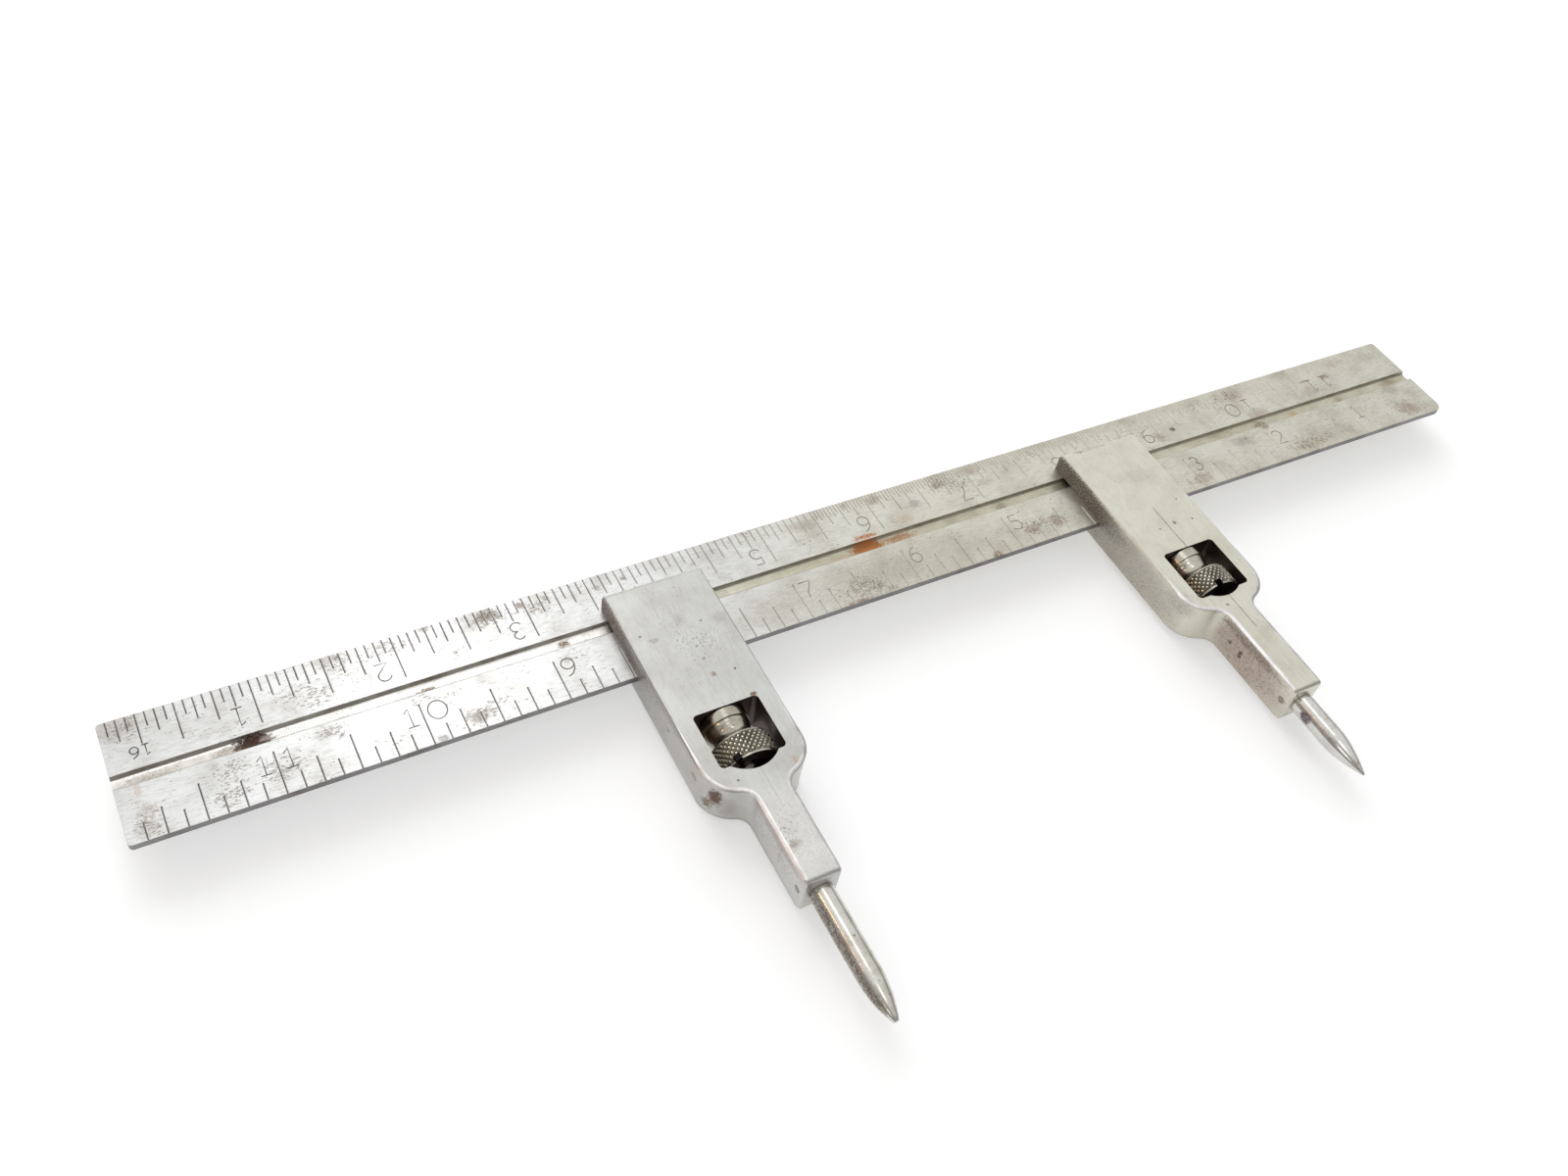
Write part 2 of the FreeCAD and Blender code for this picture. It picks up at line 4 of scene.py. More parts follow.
import bmesh
import bpy
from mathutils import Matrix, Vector

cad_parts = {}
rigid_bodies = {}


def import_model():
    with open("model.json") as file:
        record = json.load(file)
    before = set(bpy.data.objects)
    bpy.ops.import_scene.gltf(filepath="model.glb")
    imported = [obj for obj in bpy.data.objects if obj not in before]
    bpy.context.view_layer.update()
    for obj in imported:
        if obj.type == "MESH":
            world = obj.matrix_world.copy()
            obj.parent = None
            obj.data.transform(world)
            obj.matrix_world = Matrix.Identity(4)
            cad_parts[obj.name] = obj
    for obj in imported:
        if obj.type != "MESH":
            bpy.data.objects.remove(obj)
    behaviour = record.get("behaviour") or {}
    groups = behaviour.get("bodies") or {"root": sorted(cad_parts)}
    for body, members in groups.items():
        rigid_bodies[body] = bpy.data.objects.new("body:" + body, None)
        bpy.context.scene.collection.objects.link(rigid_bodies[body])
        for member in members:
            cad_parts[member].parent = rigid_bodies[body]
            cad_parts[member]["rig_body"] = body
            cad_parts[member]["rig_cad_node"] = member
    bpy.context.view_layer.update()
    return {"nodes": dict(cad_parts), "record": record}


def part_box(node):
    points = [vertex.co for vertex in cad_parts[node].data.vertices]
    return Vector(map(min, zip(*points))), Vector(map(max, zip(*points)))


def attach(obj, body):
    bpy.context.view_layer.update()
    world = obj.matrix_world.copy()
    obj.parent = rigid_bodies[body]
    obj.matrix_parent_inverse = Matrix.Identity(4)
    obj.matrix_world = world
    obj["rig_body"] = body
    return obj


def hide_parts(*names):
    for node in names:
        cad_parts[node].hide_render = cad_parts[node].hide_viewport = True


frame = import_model()

# %% [markdown]
# # A beam compass in worn steel
#
# A beam compass, or trammel, draws circles that are too big for a pair of compasses. Its beam is
# a steel rule with a groove along it. Two heads slide on the rule, and each carries a scribing
# point and a clamp: a hooked bolt lies in the groove, and a knurled nut in the head's window
# draws it tight.
#
# The solid model is loaded already. It gives each piece its place and size. This lesson makes the
# pieces again where they need what a plain solid lacks, such as engraved graduations, a knurl or
# a thread, and gives every surface its finish. One Blender unit is a metre.

# %% Measure the solid model
MM = 0.001

SIDES = ("left", "right")
SLOT = {row["node"]: row["material_slot"] for row in frame["record"]["subparts"]}
BLADE_LOW, BLADE_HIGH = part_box("rule")
HEAD_BOX = {side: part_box(f"{side}_head") for side in SIDES}
HEAD_X = {side: (HEAD_BOX[side][0].x + HEAD_BOX[side][1].x) / 2 for side in SIDES}
MID_Z = (BLADE_LOW.z + BLADE_HIGH.z) / 2
print("the heads stand at", [round(x / MM, 2) for x in HEAD_X.values()], "mm along the rule")

# %% [markdown]
# ## Helpers for modelling
#
# Blender's operators act on whatever is selected. So every step first selects nothing, then the
# one piece that it works on, and inside edit mode the faces or edges are chosen by their place.


# %% Select, choose and edit
HAIR = 0.01 * MM
NEARBY = 0.1 * MM
SHARP = math.radians(35)
SMOOTH = math.radians(30)


def only(piece):
    """Make this piece the one thing that operators act on."""
    bpy.ops.object.select_all(action="DESELECT")
    piece.hide_set(False)
    piece.select_set(True)
    bpy.context.view_layer.objects.active = piece


def edit(piece, kind="FACE"):
    """Enter edit mode with nothing chosen."""
    only(piece)
    bpy.ops.object.mode_set(mode="EDIT")
    bpy.ops.mesh.select_mode(type=kind)
    bpy.ops.mesh.select_all(action="DESELECT")


def leave():
    bpy.ops.object.mode_set(mode="OBJECT")


def choose(piece, kind, wanted):
    """In edit mode, choose just those faces, edges or verts for which wanted(part) is true."""
    bpy.ops.mesh.select_mode(type=kind[:-1].upper())
    bpy.ops.mesh.select_all(action="DESELECT")
    mesh = bmesh.from_edit_mesh(piece.data)
    for part in getattr(mesh, kind):
        if wanted(part):
            part.select_set(True)
    mesh.select_flush_mode()
    bmesh.update_edit_mesh(piece.data)


def middle(edge):
    return (edge.verts[0].co + edge.verts[1].co) / 2


def along(edge):
    return (edge.verts[1].co - edge.verts[0].co).normalized()


def soften(piece, wanted, width, segments, slot=-1):
    """Bevel the edges for which wanted(edge) is true."""
    edit(piece)
    choose(piece, "edges", wanted)
    bpy.ops.mesh.bevel(offset=width, segments=segments, affect="EDGES", material=slot)
    leave()


def add_finishes(piece, *finishes):
    for finish in finishes:
        piece.data.materials.append(finish)


def paint(piece, slot):
    """In edit mode, give the chosen faces the finish in this slot."""
    piece.active_material_index = slot
    bpy.ops.object.material_slot_assign()


def refinish(piece, wanted, slot):
    """Give the faces for which wanted(face) is true the finish in this slot."""
    edit(piece)
    choose(piece, "faces", wanted)
    paint(piece, slot)
    leave()


def named(name):
    """Name the piece that an operator has just added, and settle its place into its mesh."""
    piece = bpy.context.active_object
    piece.name = name
    piece.data.name = name
    bpy.ops.object.transform_apply(location=True, rotation=True, scale=True)
    return piece


def block(name, low, high):
    """A box between two corners."""
    low, high = Vector(low), Vector(high)
    bpy.ops.object.select_all(action="DESELECT")
    bpy.ops.mesh.primitive_cube_add(size=1, location=(low + high) / 2, scale=high - low)
    return named(name)


def rod(name, centre, radius, length, turn, around):
    """A bar, round or with a few sides, turned from upright by these angles."""
    bpy.ops.object.select_all(action="DESELECT")
    bpy.ops.mesh.primitive_cylinder_add(vertices=around, radius=radius, depth=length,
                                        location=centre, rotation=turn)
    return named(name)


def finish_with(piece, kind, **settings):
    """Put a modifier on a piece and apply it."""
    only(piece)
    modifier = piece.modifiers.new(kind.title(), kind)
    for setting, value in settings.items():
        setattr(modifier, setting, value)
    bpy.ops.object.modifier_apply(modifier=modifier.name)


def joined(name, parts):
    """Join several pieces into one."""
    bpy.ops.object.select_all(action="DESELECT")
    for part in parts:
        part.select_set(True)
    bpy.context.view_layer.objects.active = parts[0]
    bpy.ops.object.join()
    return named(name)


def carve(piece, cutter, crossing=False):
    """Cut one piece with another; the cut faces keep the cutter's material."""
    finish_with(piece, "BOOLEAN", object=cutter, operation="DIFFERENCE", solver="EXACT",
                material_mode="TRANSFER", use_self=crossing)
    bpy.data.objects.remove(cutter)
    print(piece.name, "has", len(piece.data.polygons), "faces after the cut")


def put_in(piece, body, node):
    """Smooth a finished piece, and let it stand for the solid model's node."""
    only(piece)
    bpy.ops.object.shade_smooth_by_angle(angle=SMOOTH)
    finish_with(piece, "WEIGHTED_NORMAL", keep_sharp=True)
    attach(piece, body)
    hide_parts(node)
    print(piece.name, "stands for", node, "with", len(piece.data.polygons), "faces")


# %% [markdown]
# ## The camera
#
# The compass lies on a table and is seen from above its left end, about halfway between level
# and straight down. The camera is tilted slightly, so that the rule climbs to the right.

# %% Place the camera
CAMERA_PLACE = Vector((-139.0, -112.05, 220.1)) * MM
CAMERA_TURN = [math.radians(angle) for angle in (40.27, -7.84, -28.04)]
LENS = 32.65

bpy.ops.object.camera_add(location=CAMERA_PLACE, rotation=CAMERA_TURN)
camera = bpy.context.active_object
camera.name = "camera"
camera.data.lens = LENS
camera.data.clip_start = 0.01
bpy.context.scene.camera = camera
print("the camera looks", round(90 - math.degrees(CAMERA_TURN[0])), "degrees down")

# %% [markdown]
# ## Finishes
#
# Everything here is bare tool steel, but no two pieces shine alike. Four effects make the
# differences: the fine grain that grinding leaves, soft clouds of tarnish, small pits that come
# in swarms, and a patch at one place, which is a stain in most places and painted light or shade
# in a few. Three node groups hold them, and every steel uses these with its own numbers. They get
# Object coordinates, so a pattern stays on a piece that moves.


# %% Start a node group
def new_group(name, inputs, outputs):
    """A node group with named sockets. Inputs are (name, kind, value), outputs are names."""
    tree = bpy.data.node_groups.new(name, "ShaderNodeTree")
    for title, kind, value in inputs:
        socket = tree.interface.new_socket(title, in_out="INPUT", socket_type="NodeSocket" + kind)
        socket.default_value = value
    for title in outputs:
        tree.interface.new_socket(title, in_out="OUTPUT", socket_type="NodeSocketFloat")
    return tree, tree.nodes.new("NodeGroupInput").outputs, tree.nodes.new("NodeGroupOutput").inputs


def feed(tree, source, socket):
    """Give a socket a value, a colour or a link from another socket."""
    if isinstance(source, bpy.types.NodeSocket):
        tree.links.new(source, socket)
    elif socket.type == "RGBA" and len(source) == 3:
        socket.default_value = (*source, 1)
    else:
        socket.default_value = source


def add(tree, kind, sources, **settings):
    """Add a node. The sources go to its inputs by name or number; its outputs come back."""
    node = tree.nodes.new("ShaderNode" + kind)
    for setting, value in settings.items():
        setattr(node, setting, value)
    for socket, source in sources.items():
        feed(tree, source, node.inputs[socket])
    return node.outputs


def maths(tree, operation, *sources):
    return add(tree, "Math", dict(enumerate(sources)), operation=operation)[0]


def vector_maths(tree, operation, *sources):
    return add(tree, "VectorMath", dict(enumerate(sources)), operation=operation)


def noise(tree, place, scale, detail, roughness):
    return add(tree, "TexNoise", {"Vector": place, "Scale": scale, "Detail": detail,
                                  "Roughness": roughness})["Fac"]


def ramp(tree, source, begin, end):
    """0 below begin and 1 above end, with a soft step between them."""
    return add(tree, "MapRange", {"Value": source, "From Min": begin, "From Max": end},
               interpolation_type="SMOOTHSTEP")["Result"]


# %% Grinding grain
grain_group, given, result = new_group(
    "grinding_grain", [("Place", "Vector", (0, 0, 0)), ("Fineness", "Vector", (300, 7000, 7000))],
    ["Grain", "Sweeps"])
stretched = vector_maths(grain_group, "MULTIPLY", given["Place"], given["Fineness"])[0]
feed(grain_group, noise(grain_group, stretched, 1.0, 3.0, 0.7), result["Grain"])
feed(grain_group, noise(grain_group, stretched, 0.12, 2.0, 0.5), result["Sweeps"])

# %% Tarnish and pits
wear_group, given, result = new_group(
    "tarnish_and_pits", [("Place", "Vector", (0, 0, 0)), ("Cloud Scale", "Float", 120.0),
                         ("Pit Scale", "Vector", (1500, 3200, 3200)), ("Pit Level", "Float", 0.62)],
    ["Cloud", "Dark Cloud", "Pits"])
cloud = noise(wear_group, given["Place"], given["Cloud Scale"], 6.0, 0.62)
swarm = noise(wear_group, vector_maths(wear_group, "ADD", given["Place"], (0.3, 0.1, 0.2))[0],
              given["Cloud Scale"], 4.0, 0.6)
spread = vector_maths(wear_group, "MULTIPLY", given["Place"], given["Pit Scale"])[0]
flecks = noise(wear_group, spread, 1.0, 2.0, 0.6)
crowded = maths(wear_group, "ADD", flecks, maths(wear_group, "MULTIPLY",
                                                 maths(wear_group, "SUBTRACT", swarm, 0.5), 0.5))
feed(wear_group, ramp(wear_group, cloud, 0.38, 0.7), result["Cloud"])
feed(wear_group, ramp(wear_group, cloud, 0.57, 0.74), result["Dark Cloud"])
feed(wear_group, ramp(wear_group, crowded, given["Pit Level"],
                      maths(wear_group, "ADD", given["Pit Level"], 0.07)), result["Pits"])

# %% A patch at one place
RAGGED = 2.4

patch_group, given, result = new_group(
    "patch_at", [("Place", "Vector", (0, 0, 0)), ("Centre", "Vector", (0, 0, 0)),
                 ("Reach", "Vector", (0.003, 0.003, 0.003)), ("Raggedness", "Float", RAGGED)],
    ["Stain"])
offset = vector_maths(patch_group, "SUBTRACT", given["Place"], given["Centre"])[0]
distance = vector_maths(patch_group, "LENGTH", vector_maths(patch_group, "DIVIDE", offset,
                                                            given["Reach"])[0])["Value"]
tatter = maths(patch_group, "SUBTRACT", noise(patch_group, given["Place"], 1500.0, 5.0, 0.75), 0.5)
edge = maths(patch_group, "MULTIPLY_ADD", tatter, given["Raggedness"], distance)
inside = maths(patch_group, "SUBTRACT", 1.0, ramp(patch_group, edge, 0.4, 1.1))
specks = ramp(patch_group, noise(patch_group, given["Place"], 2600.0, 3.0, 0.7), 0.4, 0.6)
feed(patch_group, maths(patch_group, "MULTIPLY", inside,
                        maths(patch_group, "MULTIPLY_ADD", specks, 0.7, 0.55)), result["Stain"])
print("node groups:", [group.name for group in bpy.data.node_groups])

# %% [markdown]
# One function then makes every worn steel. Its colour goes from bright ground metal to a tarnished
# one in clouds, then come brown blotches, patches and pits; most patches are stains, and a few are
# painted highlight, shade or reflection. The same masks make rusty places and patches rough and
# less metallic, and press the pits into the surface.

# %% Worn steel
BROWN_RUST = (0.2, 0.12, 0.065)
ORANGE_RUST = (0.43, 0.17, 0.05)
DARK_RUST = (0.07, 0.03, 0.018)
PINK_RUST = (0.3, 0.21, 0.17)
DIRT = (0.1, 0.085, 0.065)
PIT = (0.17, 0.13, 0.09)
BUMP_HEIGHT = 0.03 * MM
PIT_DEPTH = 1.4
SWEEP = 0.16
SWARM_EDGE, SWARM_PITS = 1.6, 0.14
PIT_SCALE, PIT_SCALE_ACROSS = 1500.0, 3200.0
RUST_DULLS, RUST_ROUGHENS = 0.8, 0.3


def use_group(tree, group, place, **values):
    node = tree.nodes.new("ShaderNodeGroup")
    node.node_tree = group
    feed(tree, place, node.inputs["Place"])
    for title, value in values.items():
        feed(tree, value, node.inputs[title.replace("_", " ")])
    return node.outputs


def blend(tree, share, below, above):
    """Lay one colour over another by a mask."""
    mix = tree.nodes.new("ShaderNodeMix")
    mix.data_type = "RGBA"
    feed(tree, share, mix.inputs["Factor"])
    feed(tree, below, mix.inputs[6])
    feed(tree, above, mix.inputs[7])
    return mix.outputs[2]


def stain_mask(tree, place, centre, reach, raggedness):
    """1 round a place given in mm: along the rule, out from its near edge, and up."""
    x, y, z = centre
    return use_group(tree, patch_group, place, Centre=(x * MM, y * MM + BLADE_LOW.y, z * MM),
                     Reach=[axis * MM for axis in reach], Raggedness=raggedness)["Stain"]


def worn_steel(name, bright, dull, roughness, fineness, blotch=(BROWN_RUST, 0.3), cloud_scale=120.0,
               pits=0.66, pit_strength=0.6, streaks=0.12, grain_depth=0.3, metal=1.0, stains_and_painted_light=(),
               swarms=(), toward_right=None):
    """Bare steel with grain, tarnish and pits, and patches and swarms of pits at given places."""
    material = bpy.data.materials.new(name)
    material.use_nodes = True
    tree = material.node_tree
    shader = tree.nodes["Principled BSDF"]
    place = tree.nodes.new("ShaderNodeTexCoord").outputs["Object"]
    for centre, reach in swarms:
        crowd = stain_mask(tree, place, centre, reach, SWARM_EDGE)
        pits = maths(tree, "MULTIPLY_ADD", crowd, -SWARM_PITS, pits)
    grain = use_group(tree, grain_group, place, Fineness=fineness)
    wear = use_group(tree, wear_group, place, Cloud_Scale=cloud_scale, Pit_Level=pits,
                     Pit_Scale=[PIT_SCALE_ACROSS if way > min(fineness) else PIT_SCALE
                                for way in fineness])
    rough = maths(tree, "MULTIPLY_ADD", grain["Sweeps"], SWEEP, roughness - SWEEP / 2)
    if toward_right:
        begin, end, right_bright, right_dull, right_rough = toward_right
        across = ramp(tree, add(tree, "SeparateXYZ", {0: place})["X"], begin, end)
        bright = blend(tree, across, bright, right_bright)
        dull = blend(tree, across, dull, right_dull)
        rough = maths(tree, "MULTIPLY_ADD", across, right_rough, rough)
    colour = blend(tree, wear["Cloud"], bright, dull)
    streak = maths(tree, "MULTIPLY", ramp(tree, grain["Grain"], 0.45, 0.75), streaks)
    colour = blend(tree, streak, colour, DIRT)
    blotch_colour, blotch_strength = blotch
    rust_and_patches = maths(tree, "MULTIPLY", wear["Dark Cloud"], blotch_strength)
    colour = blend(tree, rust_and_patches, colour, blotch_colour)
    for centre, reach, strength, patch_colour, *ragged in stains_and_painted_light:
        patch = stain_mask(tree, place, centre, reach, ragged[0] if ragged else RAGGED)
        patch = maths(tree, "MULTIPLY", patch, strength)
        colour = blend(tree, patch, colour, patch_colour)
        rust_and_patches = maths(tree, "MAXIMUM", rust_and_patches, patch)
    colour = blend(tree, maths(tree, "MULTIPLY", wear["Pits"], pit_strength), colour, PIT)
    feed(tree, colour, shader.inputs["Base Color"])
    feed(tree, maths(tree, "SUBTRACT", metal, maths(tree, "MULTIPLY", rust_and_patches, RUST_DULLS * metal)),
         shader.inputs["Metallic"])
    feed(tree, maths(tree, "MULTIPLY_ADD", rust_and_patches, RUST_ROUGHENS, rough), shader.inputs["Roughness"])
    pitting = maths(tree, "MULTIPLY", wear["Pits"], PIT_DEPTH)
    height = maths(tree, "SUBTRACT", grain["Grain"], pitting)
    bump = add(tree, "Bump", {"Strength": grain_depth, "Distance": BUMP_HEIGHT, "Height": height})
    feed(tree, bump["Normal"], shader.inputs["Normal"])
    return material


# %% Steels of the rule and the heads
LENGTHWISE = (450.0, 3600.0, 3600.0)
DOWN_THE_HEAD = (3600.0, 450.0, 3600.0)
ALL_WAYS = (1800.0, 1800.0, 1800.0)
ROUND_THE_LATHE = (900.0, 9000.0, 900.0)
RULE_TOP, HEAD_TOP = 7.0, 11.0


def on_rule(x, y, reach_x, reach_y, *finish):
    """A stain or a swarm of pits on the rule's upper face."""
    return ((x, y, RULE_TOP), (reach_x, reach_y, 1.0), *finish)


def speck(x, y):
    """A speck of dirt on a head's upper face."""
    return ((x, y, HEAD_TOP), (0.3, 0.3, 0.3), 1.0, DIRT)


RULE_STAINS = [on_rule(*row) for row in (
    (-8.0, 5.0, 40.0, 8.0, 0.45, (0.38, 0.355, 0.28), 0.5),
    (-148.8, 10.2, 0.7, 2.2, 0.4, (0.45, 0.3, 0.21)),
    (-148.2, 5.4, 1.8, 2.2, 0.3, BROWN_RUST),
    (-149.0, 2.0, 2.6, 2.4, 0.3, BROWN_RUST, 1.5),
    (-149.0, 24.0, 4.5, 3.4, 0.3, BROWN_RUST, 1.5),
    (-115.6, 7.9, 0.6, 0.5, 0.6, BROWN_RUST),
    (-113.0, 24.6, 3.0, 1.8, 0.3, BROWN_RUST),
    (-95.3, 24.9, 1.5, 0.8, 0.4, BROWN_RUST),
    (-92.6, 2.6, 2.6, 2.0, 0.45, BROWN_RUST),
    (-99.9, 0.7, 1.2, 0.8, 0.4, DIRT),
    (-83.4, 23.6, 2.6, 1.8, 0.65, BROWN_RUST),
    (-77.0, 23.7, 1.0, 0.9, 0.6, BROWN_RUST),
    (-71.9, 23.7, 1.0, 0.7, 0.45, BROWN_RUST),
    (-61.7, 22.4, 1.0, 0.8, 0.5, BROWN_RUST),
    (-56.0, 22.8, 0.9, 0.7, 0.65, BROWN_RUST),
    (-73.7, 8.5, 1.2, 1.1, 0.3, BROWN_RUST),
    (-5.0, 15.0, 3.6, 0.7, 1.0, ORANGE_RUST),
    (5.4, 16.4, 2.8, 1.8, 0.3, (0.4, 0.26, 0.12)),
    (-16.0, 22.4, 5.0, 1.8, 0.3, BROWN_RUST),
    (-5.1, 24.2, 1.1, 0.8, 0.5, BROWN_RUST),
    (1.7, 23.4, 2.0, 1.4, 0.6, BROWN_RUST),
    (9.8, 19.3, 1.9, 1.3, 0.45, (0.16, 0.15, 0.15)),
    (17.2, 22.4, 1.9, 1.4, 0.6, BROWN_RUST),
    (26.5, 23.8, 3.5, 1.6, 0.5, PINK_RUST),
    (28.1, 19.3, 2.6, 1.2, 0.35, PINK_RUST),
    (30.1, 3.8, 2.4, 1.8, 0.5, BROWN_RUST),
    (37.1, 3.9, 2.6, 2.0, 0.55, BROWN_RUST),
    (43.7, 3.8, 1.4, 0.9, 0.5, BROWN_RUST),
    (19.0, 0.3, 1.4, 1.2, 0.8, BROWN_RUST),
    (-8.9, 2.7, 1.3, 0.9, 0.45, BROWN_RUST),
    (-6.6, 0.9, 1.3, 0.7, 0.45, BROWN_RUST),
    (-14.6, 0.0, 5.0, 1.0, 0.6, BROWN_RUST),
    (-6.0, 5.0, 9.0, 4.0, 0.18, (0.3, 0.27, 0.2), 1.5),
    (102.0, 22.6, 3.0, 2.2, 0.6, PINK_RUST),
    (101.0, 23.4, 1.2, 1.0, 0.6, BROWN_RUST),
    (75.5, 17.0, 1.6, 1.4, 0.5, BROWN_RUST),
    (80.2, 18.0, 0.9, 0.8, 0.8, DARK_RUST, 1.2),
    (104.2, 14.9, 3.4, 1.8, 0.5, PINK_RUST),
    (102.8, 11.0, 1.7, 1.2, 0.6, BROWN_RUST),
    (94.0, 8.9, 3.0, 1.9, 0.35, (0.22, 0.19, 0.2)),
    (123.2, 16.7, 3.2, 2.2, 0.35, PINK_RUST),
    (130.6, 19.7, 1.6, 0.9, 0.6, BROWN_RUST),
    (124.1, 20.0, 2.2, 0.5, 0.45, BROWN_RUST),
    (143.3, 3.4, 3.6, 2.8, 0.55, (0.26, 0.15, 0.1)),
    (143.6, 10.0, 3.0, 2.0, 0.35, PINK_RUST),
    (146.3, 22.0, 3.2, 2.6, 0.3, PINK_RUST),
    (136.0, 23.0, 3.6, 1.8, 0.45, PINK_RUST),
    (76.6, 2.4, 3.0, 1.8, 0.45, BROWN_RUST),
    (110.0, 2.0, 6.0, 2.0, 0.35, (0.3, 0.23, 0.14)),
)]
RULE_SWARMS = [on_rule(*row) for row in (
    (-134.6, 8.0, 5.5, 3.0), (-126.5, 5.5, 5.5, 3.6), (-133.0, 17.0, 6.0, 1.8),
    (-119.5, 18.0, 7.0, 4.2), (-112.5, 23.6, 3.2, 2.6), (-136.5, 3.0, 5.0, 2.2),
    (-116.5, 9.2, 4.2, 1.8), (-149.0, 22.5, 4.0, 4.0), (-148.0, 3.0, 3.5, 3.5),
    (-103.0, 23.0, 6.0, 2.4), (-101.5, 10.0, 2.6, 1.4), (-90.0, 3.6, 5.0, 2.2),
    (-84.0, 23.0, 4.0, 2.6), (-74.0, 22.0, 3.6, 2.6), (-12.0, 3.0, 7.0, 3.0),
    (34.0, 4.0, 7.0, 3.0), (20.0, 21.5, 9.0, 3.0), (110.0, 3.0, 9.0, 2.4),
    (142.0, 5.0, 5.0, 3.0), (93.0, 22.5, 9.0, 2.4),
)]
GROOVE_STAINS = [
    ((-5.5, 12.6, 6.1), (4.4, 2.4, 1.6), 1.8, ORANGE_RUST, 1.2),
    ((2.0, 12.6, 6.2), (4.6, 1.4, 1.6), 0.7, ORANGE_RUST),
    ((-12.0, 12.0, 6.2), (5.0, 0.9, 1.6), 0.4, (0.5, 0.3, 0.18)),
    ((-129.5, 12.6, 6.1), (3.8, 1.9, 1.6), 1.8, DARK_RUST, 1.6),
    ((-127.5, 12.8, 6.1), (1.2, 0.6, 1.0), 0.8, (0.5, 0.42, 0.42)),
    ((-134.0, 12.4, 6.1), (3.0, 1.2, 1.6), 0.5, BROWN_RUST),
    ((-147.0, 12.0, 6.2), (6.0, 1.4, 2.0), 0.4, BROWN_RUST),
    ((-99.0, 11.9, 6.2), (2.2, 0.9, 2.0), 0.8, BROWN_RUST),
    ((-72.6, 12.6, 6.2), (1.6, 0.9, 2.0), 0.8, BROWN_RUST),
    ((28.0, 12.4, 6.1), (1.8, 1.2, 1.6), 0.5, BROWN_RUST),
    ((103.0, 12.2, 6.2), (2.4, 1.6, 2.0), 0.6, BROWN_RUST),
    ((114.0, 12.2, 6.2), (1.6, 1.4, 2.0), 0.6, (0.5, 0.36, 0.12)),
    ((129.0, 12.2, 6.2), (1.6, 1.2, 2.0), 0.4, BROWN_RUST),
    ((146.0, 12.4, 6.2), (3.4, 1.4, 2.0), 0.4, PINK_RUST),
    ((-60.0, 11.0, 6.2), (110.0, 0.6, 2.0), 0.6, (0.42, 0.34, 0.25), 0.8),
]
# The first patch lightens the shank as a painted highlight. The three long patches at x -63 darken
# the left side face, most of all in bands under its top edge, as painted shade, and the long patch
# at x -56.3, z 9.6 is a painted dark reflection under the shank's rounded top edge. The other
# patches are rust, stains and dirt.
LEFT_HEAD_STAINS_AND_PAINTED_LIGHT = [
    ((-52.7, -44.0, 6.0), (8.0, 16.0, 12.0), 0.4, (0.8, 0.79, 0.77), 0.4),
    ((-63.0, -10.0, 5.0), (1.6, 30.0, 7.0), 0.35, (0.42, 0.38, 0.36), 0.8),
    ((-63.0, 14.0, 8.6), (0.8, 19.0, 3.6), 0.9, (0.17, 0.115, 0.1), 0.8),
    ((-63.0, -10.0, 10.2), (0.6, 16.0, 1.2), 0.5, (0.34, 0.27, 0.26), 0.8),
    ((-61.6, -29.2, 7.4), (1.6, 1.5, 2.6), 1.4, (0.13, 0.075, 0.05)),
    ((-62.4, -27.9, 4.4), (1.2, 1.4, 1.7), 0.8, BROWN_RUST),
    ((-60.0, -31.0, 5.5), (2.4, 2.4, 3.5), 0.3, PINK_RUST, 1.2),
    ((-63.0, -23.7, 7.3), (0.6, 1.2, 0.9), 0.5, BROWN_RUST),
    ((-63.0, -13.1, 7.2), (0.6, 0.8, 0.6), 0.45, DIRT),
    ((-46.6, -14.1, 11.0), (0.9, 0.7, 0.6), 1.0, BROWN_RUST),
    ((-44.3, 4.4, 11.0), (2.2, 1.6, 0.5), 0.2, BROWN_RUST),
    ((-52.0, 6.7, 11.0), (1.4, 1.6, 0.5), 0.2, BROWN_RUST),
    ((-58.4, 3.8, 11.0), (1.2, 0.7, 0.5), 0.4, BROWN_RUST),
    speck(-51.5, -0.3),
    ((-51.6, -3.4, 11.0), (0.5, 0.4, 0.3), 0.8, BROWN_RUST),
    ((-51.5, -7.3, 11.0), (0.7, 0.8, 0.3), 0.6, BROWN_RUST),
    speck(-48.2, 4.9), speck(-47.2, -7.6), speck(-60.4, 5.6), speck(-57.6, -29.5),
    ((-54.4, -44.5, 11.0), (1.3, 1.0, 0.3), 0.5, BROWN_RUST),
    ((-46.3, -30.1, 11.0), (0.5, 2.0, 0.5), 0.35, ORANGE_RUST),
    ((-56.3, -42.0, 9.6), (0.5, 12.0, 1.2), 0.5, (0.34, 0.26, 0.26), 1.0),
    ((-56.0, -53.5, 9.0), (0.8, 1.6, 2.0), 0.4, (0.2, 0.15, 0.17), 1.0),
]
LEFT_HEAD_SWARMS = [((-63.0, 0.0, 6.0), (1.5, 30.0, 7.0)), ((-52.0, 2.0, 11.0), (8.0, 10.0, 1.0)),
                    ((-54.0, -40.0, 11.0), (4.0, 9.0, 1.0)),
                    ((-56.3, -42.0, 6.0), (1.0, 12.0, 5.0))]
